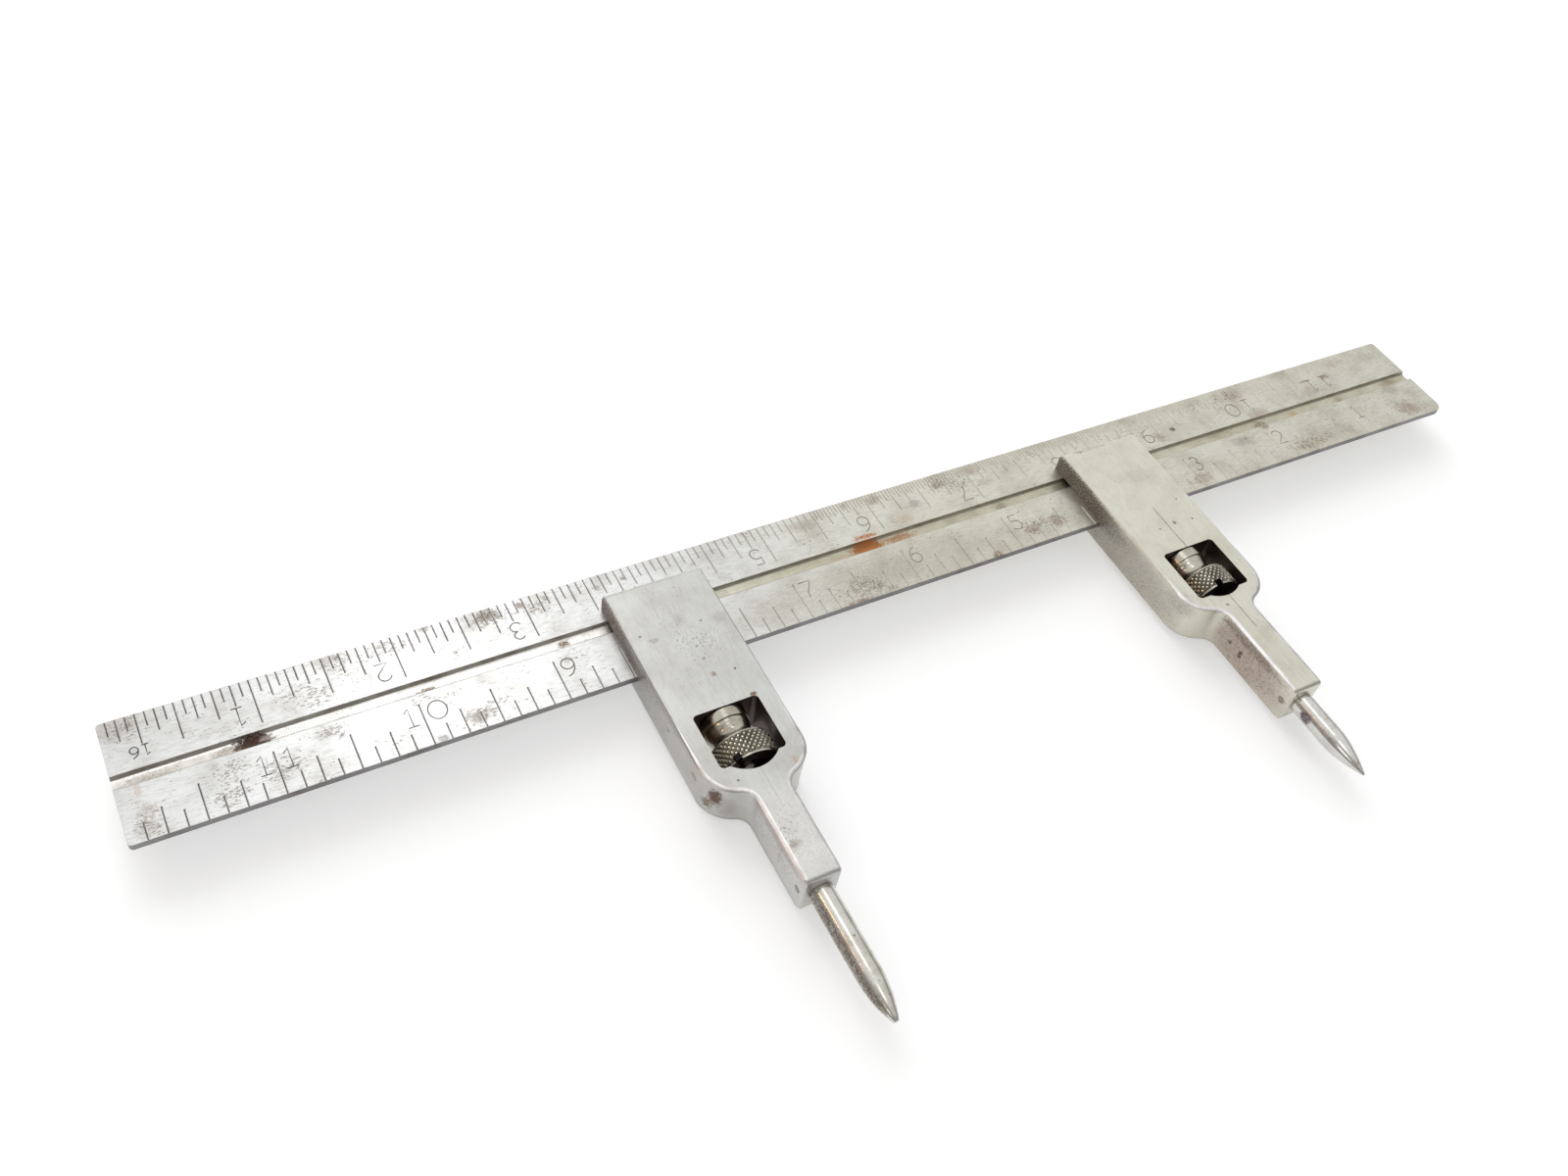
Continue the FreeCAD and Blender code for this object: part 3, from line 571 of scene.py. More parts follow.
# The long patches at x 45.8 darken the head's left side face, most of all in a band under its top
# edge, as painted shade, and the band at x 52.5, z 9.4 is a painted dark reflection under the
# shank's rounded top edge. The other patches are rust, stains and dirt.
RIGHT_HEAD_STAINS_AND_PAINTED_SHADE = [
    ((52.5, -42.0, 6.0), (0.8, 15.0, 7.0), 0.75, (0.48, 0.37, 0.315), 0.8),
    ((52.5, -41.7, 9.4), (0.8, 12.0, 1.6), 0.6, (0.16, 0.12, 0.1), 1.2),
    ((52.5, -40.2, 5.6), (0.5, 0.6, 1.3), 1.0, DARK_RUST),
    ((52.5, -36.9, 5.9), (0.5, 0.6, 0.7), 0.8, DIRT),
    ((45.8, -10.0, 5.0), (1.6, 24.0, 7.0), 0.6, (0.38, 0.33, 0.31), 0.8),
    ((45.8, 12.0, 8.6), (0.8, 22.0, 4.4), 1.0, (0.13, 0.1, 0.08), 0.6),
    ((46.6, -26.0, 9.0), (2.0, 5.0, 3.0), 0.35, (0.22, 0.2, 0.19), 1.0),
    ((50.7, 16.9, 10.8), (1.2, 0.8, 0.8), 0.7, BROWN_RUST),
    ((57.9, -8.6, 11.0), (0.6, 0.6, 0.4), 0.8, BROWN_RUST),
    speck(53.7, -9.1),
    ((62.6, -9.1, 11.0), (0.35, 0.35, 0.3), 1.0, BROWN_RUST),
    ((62.8, -3.1, 11.0), (0.4, 0.4, 0.3), 0.8, DIRT),
    ((54.1, -31.4, 11.0), (0.5, 0.5, 0.3), 0.8, BROWN_RUST),
    ((54.5, 17.0, 11.0), (6.5, 0.8, 0.8), 0.5, (0.2, 0.18, 0.17)),
]
RIGHT_HEAD_SWARMS = [((45.8, -6.0, 5.0), (1.5, 24.0, 6.0)), ((52.5, -42.0, 6.0), (1.0, 14.0, 6.0))]
# The first two patches darken the point's left flank, partly as tarnish and partly as a painted
# dark reflection. The others are rust and dirt.
LEFT_POINT_STAINS_AND_REFLECTION = [
    ((-55.0, -61.0, 7.3), (1.2, 18.0, 1.5), 0.85, (0.13, 0.095, 0.075), 0.9),
    ((-54.2, -72.0, 6.9), (1.2, 6.0, 1.3), 0.8, (0.13, 0.095, 0.075), 0.9),
    ((-50.3, -70.0, 7.2), (0.5, 4.0, 1.2), 0.6, BROWN_RUST, 1.4),
    ((-52.4, -62.4, 8.8), (0.3, 0.3, 0.4), 1.0, DIRT),
]
# The first patch is a dark spot of tarnish; the second is a dark line along the upper left flank, a
# painted reflection.
RIGHT_POINT_STAINS_AND_REFLECTION = [
    ((53.9, -58.4, 6.6), (0.7, 1.6, 1.4), 1.0, (0.11, 0.07, 0.075), 1.2),
    ((53.9, -64.0, 7.7), (0.5, 12.0, 0.5), 0.6, (0.16, 0.12, 0.1), 0.8),
]

# %% The steels of the record's slots
STEELS = {
    "rule_steel": worn_steel(
        "ground_rule_steel", (0.68, 0.685, 0.68), (0.55, 0.545, 0.53), 0.3, LENGTHWISE,
        blotch=(BROWN_RUST, 0.12), pits=0.66, streaks=0.3, grain_depth=0.4, stains_and_painted_light=RULE_STAINS,
        swarms=RULE_SWARMS,
        # The right end is warmer and darker than the left: partly the steel's own tone, partly
        # painted light.
        toward_right=(-0.06, 0.02, (0.63, 0.62, 0.545), (0.52, 0.495, 0.42), 0.08)),
    "left_head_steel": worn_steel(
        "left_head_steel", (0.57, 0.57, 0.55), (0.5, 0.495, 0.47), 0.31, DOWN_THE_HEAD,
        blotch=(BROWN_RUST, 0.06), pits=0.7, pit_strength=0.5, streaks=0.16,
        stains_and_painted_light=LEFT_HEAD_STAINS_AND_PAINTED_LIGHT, swarms=LEFT_HEAD_SWARMS),
    "right_head_steel": worn_steel(
        "right_head_steel", (0.67, 0.66, 0.57), (0.59, 0.575, 0.485), 0.33, DOWN_THE_HEAD,
        blotch=(BROWN_RUST, 0.08), pits=0.7, pit_strength=0.5, streaks=0.16,
        stains_and_painted_light=RIGHT_HEAD_STAINS_AND_PAINTED_SHADE, swarms=RIGHT_HEAD_SWARMS),
    "left_point_steel": worn_steel(
        "left_point_steel", (0.66, 0.65, 0.61), (0.5, 0.48, 0.41), 0.2, ROUND_THE_LATHE,
        blotch=(BROWN_RUST, 0.2), cloud_scale=260.0, pits=0.72, grain_depth=0.04,
        stains_and_painted_light=LEFT_POINT_STAINS_AND_REFLECTION),
    "right_point_steel": worn_steel(
        "right_point_steel", (0.68, 0.67, 0.65), (0.55, 0.53, 0.49), 0.18, ROUND_THE_LATHE,
        blotch=(BROWN_RUST, 0.2), cloud_scale=260.0, pits=0.72, grain_depth=0.04,
        stains_and_painted_light=RIGHT_POINT_STAINS_AND_REFLECTION),
    "pin_steel": worn_steel(
        "driven_pin_steel", (0.34, 0.28, 0.25), (0.18, 0.13, 0.11), 0.4, ALL_WAYS,
        blotch=(DARK_RUST, 0.6), cloud_scale=600.0),
    "clamp_steel": worn_steel(
        "turned_clamp_steel", (0.42, 0.4, 0.36), (0.28, 0.26, 0.22), 0.38, ROUND_THE_LATHE,
        blotch=(DARK_RUST, 0.6)),
    "nut_steel": worn_steel(
        "turned_nut_steel", (0.5, 0.48, 0.41), (0.32, 0.295, 0.235), 0.2, ROUND_THE_LATHE,
        blotch=(BROWN_RUST, 0.25), cloud_scale=300.0, pits=0.78, streaks=0.05, grain_depth=0.05),
}
# Rubbed edges: brighter from wear, and painted brighter still as a highlight.
HEAD_EDGE_HIGHLIGHT = worn_steel(
    "rubbed_edge_and_highlight", (0.74, 0.73, 0.72), (0.54, 0.5, 0.49), 0.33, ALL_WAYS,
    blotch=(PINK_RUST, 0.25), cloud_scale=200.0, pits=0.74, grain_depth=0.03)
# The window's inner walls are dark partly from oil and rust and partly as painted shade.
OILY_SHADED_WALL = worn_steel(
    "oily_wall_and_painted_shade", (0.16, 0.12, 0.11), (0.08, 0.055, 0.05), 0.4, ALL_WAYS,
    blotch=(DARK_RUST, 0.7), cloud_scale=200.0)
WARM_WALL = worn_steel(
    "rusty_wall_steel", (0.44, 0.32, 0.24), (0.28, 0.2, 0.15), 0.5, ALL_WAYS,
    blotch=(BROWN_RUST, 0.4), cloud_scale=200.0, metal=0.4)
# The rule's upright sides are painted darker than its top, as shade.
RULE_SIDE_SHADE = worn_steel(
    "rule_side_painted_shade", (0.3, 0.295, 0.3), (0.19, 0.18, 0.185), 0.45, LENGTHWISE, pits=0.62)
# The groove's floor is painted bright as a sheen, and its far wall, its broken lips and the scribed
# lines on the heads dark as shade.
GROOVE_FLOOR_SHEEN = worn_steel(
    "groove_floor_painted_sheen", (0.84, 0.83, 0.79), (0.64, 0.62, 0.57), 0.25, LENGTHWISE,
    blotch=(BROWN_RUST, 0.15), cloud_scale=90.0, pits=0.72, streaks=0.3, grain_depth=0.2,
    stains_and_painted_light=GROOVE_STAINS,
    toward_right=(-0.08, -0.02, (0.6, 0.575, 0.46), (0.45, 0.425, 0.32), 0.08))
GROOVE_WALL_SHADE = worn_steel(
    "groove_wall_painted_shade", (0.42, 0.41, 0.385), (0.28, 0.27, 0.245), 0.4, LENGTHWISE,
    cloud_scale=200.0, streaks=0.3, stains_and_painted_light=GROOVE_STAINS[:5],
    toward_right=(-0.06, 0.03, (0.52, 0.5, 0.42), (0.36, 0.34, 0.27), 0.0))
# Engraved lines and numbers are dark partly from dirt and partly as painted shade; one wall of each
# graduation is painted bright as a highlight.
ENGRAVING_DIRT_AND_SHADE = worn_steel(
    "engraving_dirt_and_shade", (0.2, 0.19, 0.185), (0.13, 0.12, 0.11), 0.35, LENGTHWISE,
    toward_right=(-0.09, 0.0, (0.42, 0.4, 0.33), (0.3, 0.28, 0.22), 0.08))
CUT_WALL_HIGHLIGHT = worn_steel(
    "cut_wall_painted_highlight", (0.97, 0.97, 0.96), (0.84, 0.83, 0.8), 0.4, LENGTHWISE, metal=0.15,
    toward_right=(-0.06, 0.02, (0.82, 0.8, 0.7), (0.68, 0.66, 0.57), 0.08))
# Knurl grooves are painted dark as shade, and knurl tips painted bright as glints.
KNURL_GROOVE_SHADE = worn_steel(
    "knurl_groove_painted_shade", (0.1, 0.09, 0.065), (0.05, 0.04, 0.03), 0.35, ROUND_THE_LATHE,
    cloud_scale=300.0, grain_depth=0.1)
KNURL_TIP_GLINT = worn_steel(
    "knurl_tip_painted_glint", (0.95, 0.94, 0.88), (0.8, 0.78, 0.7), 0.32, ROUND_THE_LATHE,
    cloud_scale=300.0, grain_depth=0.05)
# The nut's end face, its recess and its slot are painted dark as shade.
NUT_END_SHADE = worn_steel("nut_end_painted_shade", (0.13, 0.09, 0.08), (0.06, 0.04, 0.035), 0.4, ALL_WAYS)


def steel_of(node):
    """The steel of a node of the solid model; each head and each point has its own."""
    if node.endswith("_pin"):
        return STEELS["pin_steel"]
    return STEELS.get(f"{node}_steel") or STEELS[SLOT[node]]


for name, node in frame["nodes"].items():
    node.data.materials.clear()
    add_finishes(node, steel_of(name))

# %% [markdown]
# ## The engraved rule
#
# The beam is a twelve inch rule. On the real one the groove is milled, and lines and numbers are
# engraved. So the blade starts as a box with rounded corners, and the same tools cut it: a
# milling cutter, a pointed graver for the lines and a round one for the numbers.
# Lines that are only painted on a texture stay flat in a raking light, and these catch it.

# %% Blade with rounded corners and worn edges
INCH = 25.4 * MM
CORNER = 0.8 * MM
WORN_CORNER = 2.0 * MM
EDGE_WEAR = 0.1 * MM

blade = block("engraved_rule", BLADE_LOW, BLADE_HIGH)
add_finishes(blade, STEELS["rule_steel"], RULE_SIDE_SHADE)


def is_worn_corner(edge):
    at = middle(edge)
    return abs(along(edge).z) > 0.9 and at.x > 0 and at.y < (BLADE_LOW.y + BLADE_HIGH.y) / 2


def is_other_corner(edge):
    at_end = abs(middle(edge).x) > BLADE_HIGH.x - EDGE_WEAR
    return abs(along(edge).z) > 0.9 and at_end and not is_worn_corner(edge)


soften(blade, is_worn_corner, WORN_CORNER, 8)
soften(blade, is_other_corner, CORNER, 5)
soften(blade, lambda edge: abs(along(edge).z) < 0.1, EDGE_WEAR, 2)
# Faces that stand upright take the painted shade of the rule's sides.
refinish(blade, lambda face: abs(face.normal.z) < 0.3, 1)
print("the blade has", len(blade.data.polygons), "faces")

# %% Mill the groove
GROOVE_START = 11.3 * MM
GROOVE_WIDTH = 2.8 * MM
GROOVE_DEPTH = 0.9 * MM
GROOVE_CORNER = 0.8 * MM
OVERRUN = 2.0 * MM

groove_near = BLADE_LOW.y + GROOVE_START
cutter = block("groove_cutter",
               (BLADE_LOW.x - OVERRUN, groove_near, BLADE_HIGH.z - GROOVE_DEPTH),
               (BLADE_HIGH.x + OVERRUN, groove_near + GROOVE_WIDTH, BLADE_HIGH.z + OVERRUN))
add_finishes(cutter, GROOVE_FLOOR_SHEEN, GROOVE_WALL_SHADE)
soften(cutter, lambda edge: abs(along(edge).x) > 0.9 and middle(edge).z < BLADE_HIGH.z,
       GROOVE_CORNER, 5)
# The cutter's far face becomes the groove's far wall, painted dark as shade.
refinish(cutter, lambda face: face.normal.y > 0.5, 1)
carve(blade, cutter)

# %% Break the groove's lips
LIP_BREAK = 0.1 * MM


def is_lip(edge):
    at = middle(edge)
    return (abs(along(edge).x) > 0.9 and abs(at.z - BLADE_HIGH.z) < HAIR
            and abs(at.y - groove_near - GROOVE_WIDTH / 2) < GROOVE_WIDTH / 2 + HAIR)


# The broken lips take the groove wall's painted shade.
soften(blade, is_lip, LIP_BREAK, 1, blade.data.materials.find(GROOVE_WALL_SHADE.name))
print("the blade's finishes are", [material.name for material in blade.data.materials])

# %% Rule the graduations
GRAVER = 0.3 * MM
LINE_DEPTH = 0.17 * MM
GRAVER_LEAN = math.radians(-8)
RULE_INCHES = 12
NEAR_LINES = {8: 3.5, 4: 5.4, 2: 7.5, 1: 9.0}
FAR_LINES = {16: 3.3, 8: 4.9, 4: 6.6, 2: 8.2, 1: 9.9}
FINE_LINES = {32: 2.5}
FINE_FROM = 5.5


def ruled(parts, length, at_far_edge, begin=0.0):
    """A row of pointed cutters, one for each line that splits an inch into this many parts."""
    length *= MM
    edge = BLADE_HIGH.y if at_far_edge else BLADE_LOW.y
    outward = 1 if at_far_edge else -1
    y = edge - outward * (length - OVERRUN) / 2
    first = BLADE_LOW.x + begin * INCH + INCH / parts
    height = BLADE_HIGH.z + GRAVER - LINE_DEPTH
    row = rod("graver", (first, y, height), GRAVER, length + OVERRUN,
              (math.pi / 2, GRAVER_LEAN, 0), 4)
    add_finishes(row, ENGRAVING_DIRT_AND_SHADE, CUT_WALL_HIGHLIGHT)
    # One wall of each line is painted bright as a highlight, the other dark as shade.
    refinish(row, lambda face: face.normal.x > 0.3 and face.normal.z < 0, 1)
    step = INCH if parts == 1 else 2 * INCH / parts
    count = RULE_INCHES - 1 if parts == 1 else round((RULE_INCHES - begin) * parts / 2)
    finish_with(row, "ARRAY", count=count, use_relative_offset=False, use_constant_offset=True,
                constant_offset_displace=(step, 0, 0))
    return row


rows = [ruled(parts, length, False) for parts, length in NEAR_LINES.items()]
rows += [ruled(parts, length, True) for parts, length in FAR_LINES.items()]
rows += [ruled(parts, length, True, FINE_FROM) for parts, length in FINE_LINES.items()]
carve(blade, joined("line_cutters", rows))

# %% [markdown]
# The numbers have one thin stroke, like those of an engraver's pantograph. Each numeral is a few
# lines and arcs in a box one unit high. The strokes become round wires half sunk in the blade,
# and cutting them out leaves round-bottomed strokes.


# %% Draw the numerals
def arc(across, up, wide, high, begin, end, steps=14):
    """Points on an ellipse's arc, in degrees from the right and anticlockwise."""
    angles = [math.radians(begin + (end - begin) * i / steps) for i in range(steps + 1)]
    return [(across + wide * math.cos(angle), up + high * math.sin(angle)) for angle in angles]


SIX = [arc(0.31, 0.3, 0.3, 0.3, 0, 360, 20), arc(0.55, 0.3, 0.54, 0.7, 180, 95)]
NUMERALS = {
    "0": [arc(0.42, 0.5, 0.42, 0.5, 0, 360, 24)],
    "1": [[(0.1, 0.8), (0.32, 1.0), (0.32, 0.0)], [(0.08, 0.0), (0.56, 0.0)]],
    "2": [arc(0.32, 0.71, 0.29, 0.29, 165, -35) + [(0.02, 0.0), (0.64, 0.0)]],
    "3": [arc(0.3, 0.77, 0.24, 0.23, 150, -90), arc(0.3, 0.27, 0.28, 0.27, 90, -150)],
    "4": [[(0.46, 0.0), (0.46, 1.0), (0.02, 0.3), (0.66, 0.3)]],
    "5": [[(0.56, 1.0), (0.13, 1.0)] + arc(0.3, 0.31, 0.3, 0.31, 125, -150)],
    "6": SIX,
    "7": [[(0.03, 1.0), (0.62, 1.0)] + arc(0.9, 0.0, 0.68, 0.85, 125, 180, 8)],
    "8": [arc(0.31, 0.77, 0.23, 0.23, 0, 360, 18), arc(0.31, 0.27, 0.29, 0.27, 0, 360, 20)],
    "9": [[(0.62 - across, 1 - up) for across, up in stroke] for stroke in SIX],
}

# %% Engrave the numbers
NUMBER_HEIGHT = 4.0 * MM
SMALL_NUMBER = 2.3 * MM
STROKE = 0.12 * MM
SMALL_NUMBER_PLACE = [BLADE_LOW.x + 0.29 * INCH, BLADE_LOW.x + 0.215 * INCH,
                      BLADE_LOW.y + 0.73 * INCH]
NUMERAL_WIDTH = 0.62
NEAR_NUMBER_FOOT = 4.8 * MM
FAR_NUMBER_FOOT = 5.3 * MM
GAP_TO_LINE = 1.0 * MM
FAR_GAP = 2.1 * MM

bpy.ops.object.select_all(action="DESELECT")
bpy.ops.curve.primitive_bezier_curve_add(location=(0, 0, 0))
wires = bpy.context.active_object
wires.data.splines.clear()
wires.data.bevel_depth = STROKE
wires.data.bevel_resolution = 1
wires.data.use_fill_caps = True


def engrave(text, place, height, turned_round):
    """Lay a number's strokes on the blade, from its lower left corner as it is read."""
    reading = -1 if turned_round else 1
    for index, numeral in enumerate(text):
        for stroke in NUMERALS[numeral]:
            spline = wires.data.splines.new("POLY")
            spline.points.add(len(stroke) - 1)
            for point, (across, up) in zip(spline.points, stroke):
                x = place[index] + reading * across * height
                y = place[-1] + reading * up * height
                point.co = (x, y, BLADE_HIGH.z, 1)


for number in range(1, RULE_INCHES):
    text = str(number)
    width = NUMERAL_WIDTH * NUMBER_HEIGHT
    near_line = BLADE_HIGH.x - number * INCH
    far_line = BLADE_LOW.x + number * INCH
    near_places = [near_line + GAP_TO_LINE]
    far_places = [far_line - FAR_GAP]
    if len(text) == 2:
        near_places = [near_line - GAP_TO_LINE - width, near_line + GAP_TO_LINE]
        far_places = [far_line + GAP_TO_LINE + width, far_line - GAP_TO_LINE]
    engrave(text, near_places + [BLADE_LOW.y + NEAR_NUMBER_FOOT], NUMBER_HEIGHT, False)
    engrave(text, far_places + [BLADE_HIGH.y - FAR_NUMBER_FOOT], NUMBER_HEIGHT, True)
engrave("16", SMALL_NUMBER_PLACE, SMALL_NUMBER, True)

only(wires)
bpy.ops.object.convert(target="MESH")
number_cutter = named("number_cutter")
# The number strokes are dark partly from dirt and partly as painted shade.
add_finishes(number_cutter, ENGRAVING_DIRT_AND_SHADE)
carve(blade, number_cutter, crossing=True)
put_in(blade, "beam", "rule")

# %% [markdown]
# ## The forked heads
#
# A head is one milled block: a fork that takes the rule, a window for the nut and a shank for the
# point. The solid model has its form, so a copy of it is enough here. The copy's loose triangles
# are merged and its flat faces made whole. Its edges get the slight rounding of long use, and
# shoulders and shank, where fingers rub, a wider one. A fine line is scribed down the middle of
# its face, as a toolmaker lays out the holes.

# %% Copy, soften and scribe the heads
HEAD_WEAR = 0.5 * MM
SHOULDER_START = -20.0 * MM
OTHER_WEAR = 0.08 * MM
SCRIBER = 0.06 * MM
SCRIBED_DEPTH = 0.025 * MM
UPPER_LINE = {"left": 26.0 * MM, "right": 12.0 * MM}
LOWER_LINE = 9.0 * MM


def merged_copy(node, name):
    """A copy of one of the solid model's nodes, with its triangles merged into whole faces."""
    only(frame["nodes"][node])
    bpy.ops.object.duplicate()
    piece = named(name)
    piece.parent = None
    edit(piece)
    bpy.ops.mesh.select_all(action="SELECT")
    bpy.ops.mesh.remove_doubles(threshold=0.001 * MM)
    bpy.ops.mesh.dissolve_limited(angle_limit=math.radians(1), delimit={"MATERIAL"})
    leave()
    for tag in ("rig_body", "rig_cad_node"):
        if tag in piece:
            del piece[tag]
    return piece


def scribed(piece, x, begin, end, top):
    """A fine line along Y on the piece's upper face."""
    centre = (x, (begin + end) / 2, top + SCRIBER - SCRIBED_DEPTH)
    point = rod("scriber", centre, SCRIBER, end - begin, (math.pi / 2, 0, 0), 4)
    # The scribed line's walls take the groove wall's painted shade.
    add_finishes(point, GROOVE_WALL_SHADE)
    carve(piece, point)


WINDOW_TOP = {"left": -14.4 * MM, "right": -15.3 * MM}
WINDOW_END = {"left": -28.5 * MM, "right": -29.3 * MM}
WINDOW_HALF = 6.6 * MM


def is_window_wall(face, side):
    """True for the faces that stand round the nut's window."""
    at = face.calc_center_median()
    return (abs(face.normal.z) < 0.5 and abs(at.x - HEAD_X[side]) < WINDOW_HALF + NEARBY
            and WINDOW_END[side] - NEARBY < at.y - BLADE_LOW.y < WINDOW_TOP[side] + NEARBY)


def is_outline(edge, side):
    """True for the outer edges of shoulders and shank, which fingers rub round."""
    low, high = HEAD_BOX[side]
    at = middle(edge)
    on_face = min(abs(at.z - low.z), abs(at.z - high.z)) < HAIR and abs(along(edge).z) < 0.1
    near_shank = at.y < BLADE_LOW.y + SHOULDER_START
    return (on_face and near_shank and edge.calc_face_angle(0) > SHARP
            and not any(is_window_wall(face, side) for face in edge.link_faces))


for side in SIDES:
    top = HEAD_BOX[side][1].z
    head = merged_copy(f"{side}_head", f"{side}_forked_head")
    add_finishes(head, HEAD_EDGE_HIGHLIGHT, OILY_SHADED_WALL, WARM_WALL)
    # The window's walls are dark partly from oil and rust and partly as painted shade.
    refinish(head, lambda face: is_window_wall(face, side), 2)
    refinish(head, lambda face: is_window_wall(face, side) and face.normal.x > 0.7, 3)
    # The rounded edges take the rubbed edge steel, brighter from wear and painted brighter as a
    # highlight.
    soften(head, lambda edge: is_outline(edge, side), HEAD_WEAR, 4, 1)
    finish_with(head, "BEVEL", width=OTHER_WEAR, segments=2, limit_method="ANGLE",
                angle_limit=SHARP, material=1)
    window_top = BLADE_LOW.y + WINDOW_TOP[side]
    window_end = BLADE_LOW.y + WINDOW_END[side]
    scribed(head, HEAD_X[side], window_top, window_top + UPPER_LINE[side], top)
    scribed(head, HEAD_X[side], window_end - LOWER_LINE, window_end, top)
    put_in(head, f"{side}_slider", f"{side}_head")

# %% [markdown]
# ## Turned pieces
#
# Points, pins, bolts and nuts all come off a lathe. One helper does that job: it starts from a
# ring of vertices, then extrudes and scales it again and again along the axis, as the turner goes
# from one diameter to the next. A piece with a bore runs out along the outside and back through
# the bore, and its last ring is bridged to the first.

# %% A lathe
AROUND = 48


def turned(name, x, steel, rings, hollow=False, around=AROUND):
    """Turn a piece about a line along Y. The rings are (place along Y, radius) pairs."""
    y, radius = rings[0]
    bpy.ops.object.select_all(action="DESELECT")
    bpy.ops.mesh.primitive_circle_add(vertices=around, radius=radius, location=(x, y, MID_Z),
                                      rotation=(math.pi / 2, 0, 0),
                                      fill_type="NOTHING" if hollow else "NGON")
    piece = named(name)
    edit(piece, "EDGE" if hollow else "FACE")
    bpy.ops.mesh.select_all(action="SELECT")
    for next_y, next_radius in rings[1:]:
        bpy.ops.mesh.extrude_region_move(TRANSFORM_OT_translate={"value": (0, next_y - y, 0)})
        growth = next_radius / radius
        bpy.ops.transform.resize(value=(growth, 1, growth), center_override=(x, next_y, MID_Z))
        y, radius = next_y, next_radius
    if hollow:
        choose(piece, "edges", lambda edge: edge.is_boundary)
        bpy.ops.mesh.bridge_edge_loops()
    bpy.ops.mesh.select_all(action="SELECT")
    bpy.ops.mesh.normals_make_consistent(inside=False)
    leave()
    add_finishes(piece, STEELS[steel])
    return piece


# %% [markdown]
# ### Scribing points and cross pins
#
# A point has a tang that goes into the shank, a straight part and a long curved taper. The curve
# is an arc that leaves the straight part smoothly, so the radius falls with the square of the
# distance. A cross pin through shank and tang keeps the point in, and its ends are slightly domed.

# %% Points and pins
TANG_RADIUS = 1.985 * MM
TANG_LENGTH = 15.0 * MM
EDGE_BREAK = 0.25 * MM
POINT_BREAK = 0.12 * MM
TAPER = {"left": 9.8 * MM, "right": 9.0 * MM}
TIP_RADIUS = {"left": 0.65 * MM, "right": 0.25 * MM}
FULLNESS = {"left": 2.1, "right": 1.6}
TAPER_STEPS = 16
PIN_RADIUS = 0.79 * MM
PIN_SIDES = 24
PIN_DOME = 0.12 * MM


def curved_taper(start, tip, radius, tip_radius, fullness):
    """Rings of an arc that leaves the straight part smoothly, with a rounded tip at the end."""
    rings = []
    for step in range(TAPER_STEPS + 1):
        share = step / TAPER_STEPS
        rings.append((start + share * (tip + tip_radius / 2 - start),
                      radius - (radius - tip_radius) * share ** fullness))
    rings.append((tip + tip_radius * 0.15, tip_radius * 0.75))
    rings.append((tip, tip_radius * 0.35))
    return rings


for side in SIDES:
    low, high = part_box(f"{side}_point")
    radius = (high.x - low.x) / 2
    shoulder = high.y - TANG_LENGTH
    rings = [(high.y, TANG_RADIUS - EDGE_BREAK), (high.y - EDGE_BREAK, TANG_RADIUS),
             (shoulder, TANG_RADIUS), (shoulder, radius - POINT_BREAK),
             (shoulder - POINT_BREAK, radius)]
    rings += curved_taper(low.y + TAPER[side], low.y, radius, TIP_RADIUS[side], FULLNESS[side])
    point = turned(f"{side}_scribing_point", HEAD_X[side], f"{side}_point_steel", rings)
    put_in(point, f"{side}_slider", f"{side}_point")

    low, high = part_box(f"{side}_point_pin")
    pin = rod(f"{side}_cross_pin", (low + high) / 2, PIN_RADIUS, high.x - low.x,
              (0, math.pi / 2, 0), PIN_SIDES)
    edit(pin)
    choose(pin, "faces", lambda face: abs(face.normal.x) > 0.9)
    bpy.ops.mesh.inset(thickness=PIN_DOME, depth=0, use_individual=True)
    leave()
    finish_with(pin, "BEVEL", width=PIN_DOME / 2, segments=2, limit_method="ANGLE")
    add_finishes(pin, STEELS["pin_steel"])
    put_in(pin, f"{side}_slider", f"{side}_point_pin")

# %% [markdown]
# ### Hooked bolts
#
# The draw bolt starts as a turned blank. The mill then cuts half of its barrel away, so that the
# rest lies on the rule, and leaves a hook at the end that reaches into the groove. The thread is
# real: a triangle is swept along a helix by the Screw modifier and laid round the core.

# %% Bolts
HOOK_END = GROOVE_START + 1.6 * MM
BARREL_RADIUS = 2.95 * MM
BARREL_START = 1.3 * MM
BARREL_FOOT = -4.3 * MM
BOLT_LENGTH = 38.3 * MM
THREAD_RADIUS = 1.75 * MM
THREAD_CORE = 1.4 * MM
THREAD_PITCH = 0.794 * MM
THREAD_STEPS = 24
BOLT_BREAK = 0.4 * MM
HOOK_DEPTH = 0.6 * MM
TONGUE_GAP = 0.05 * MM


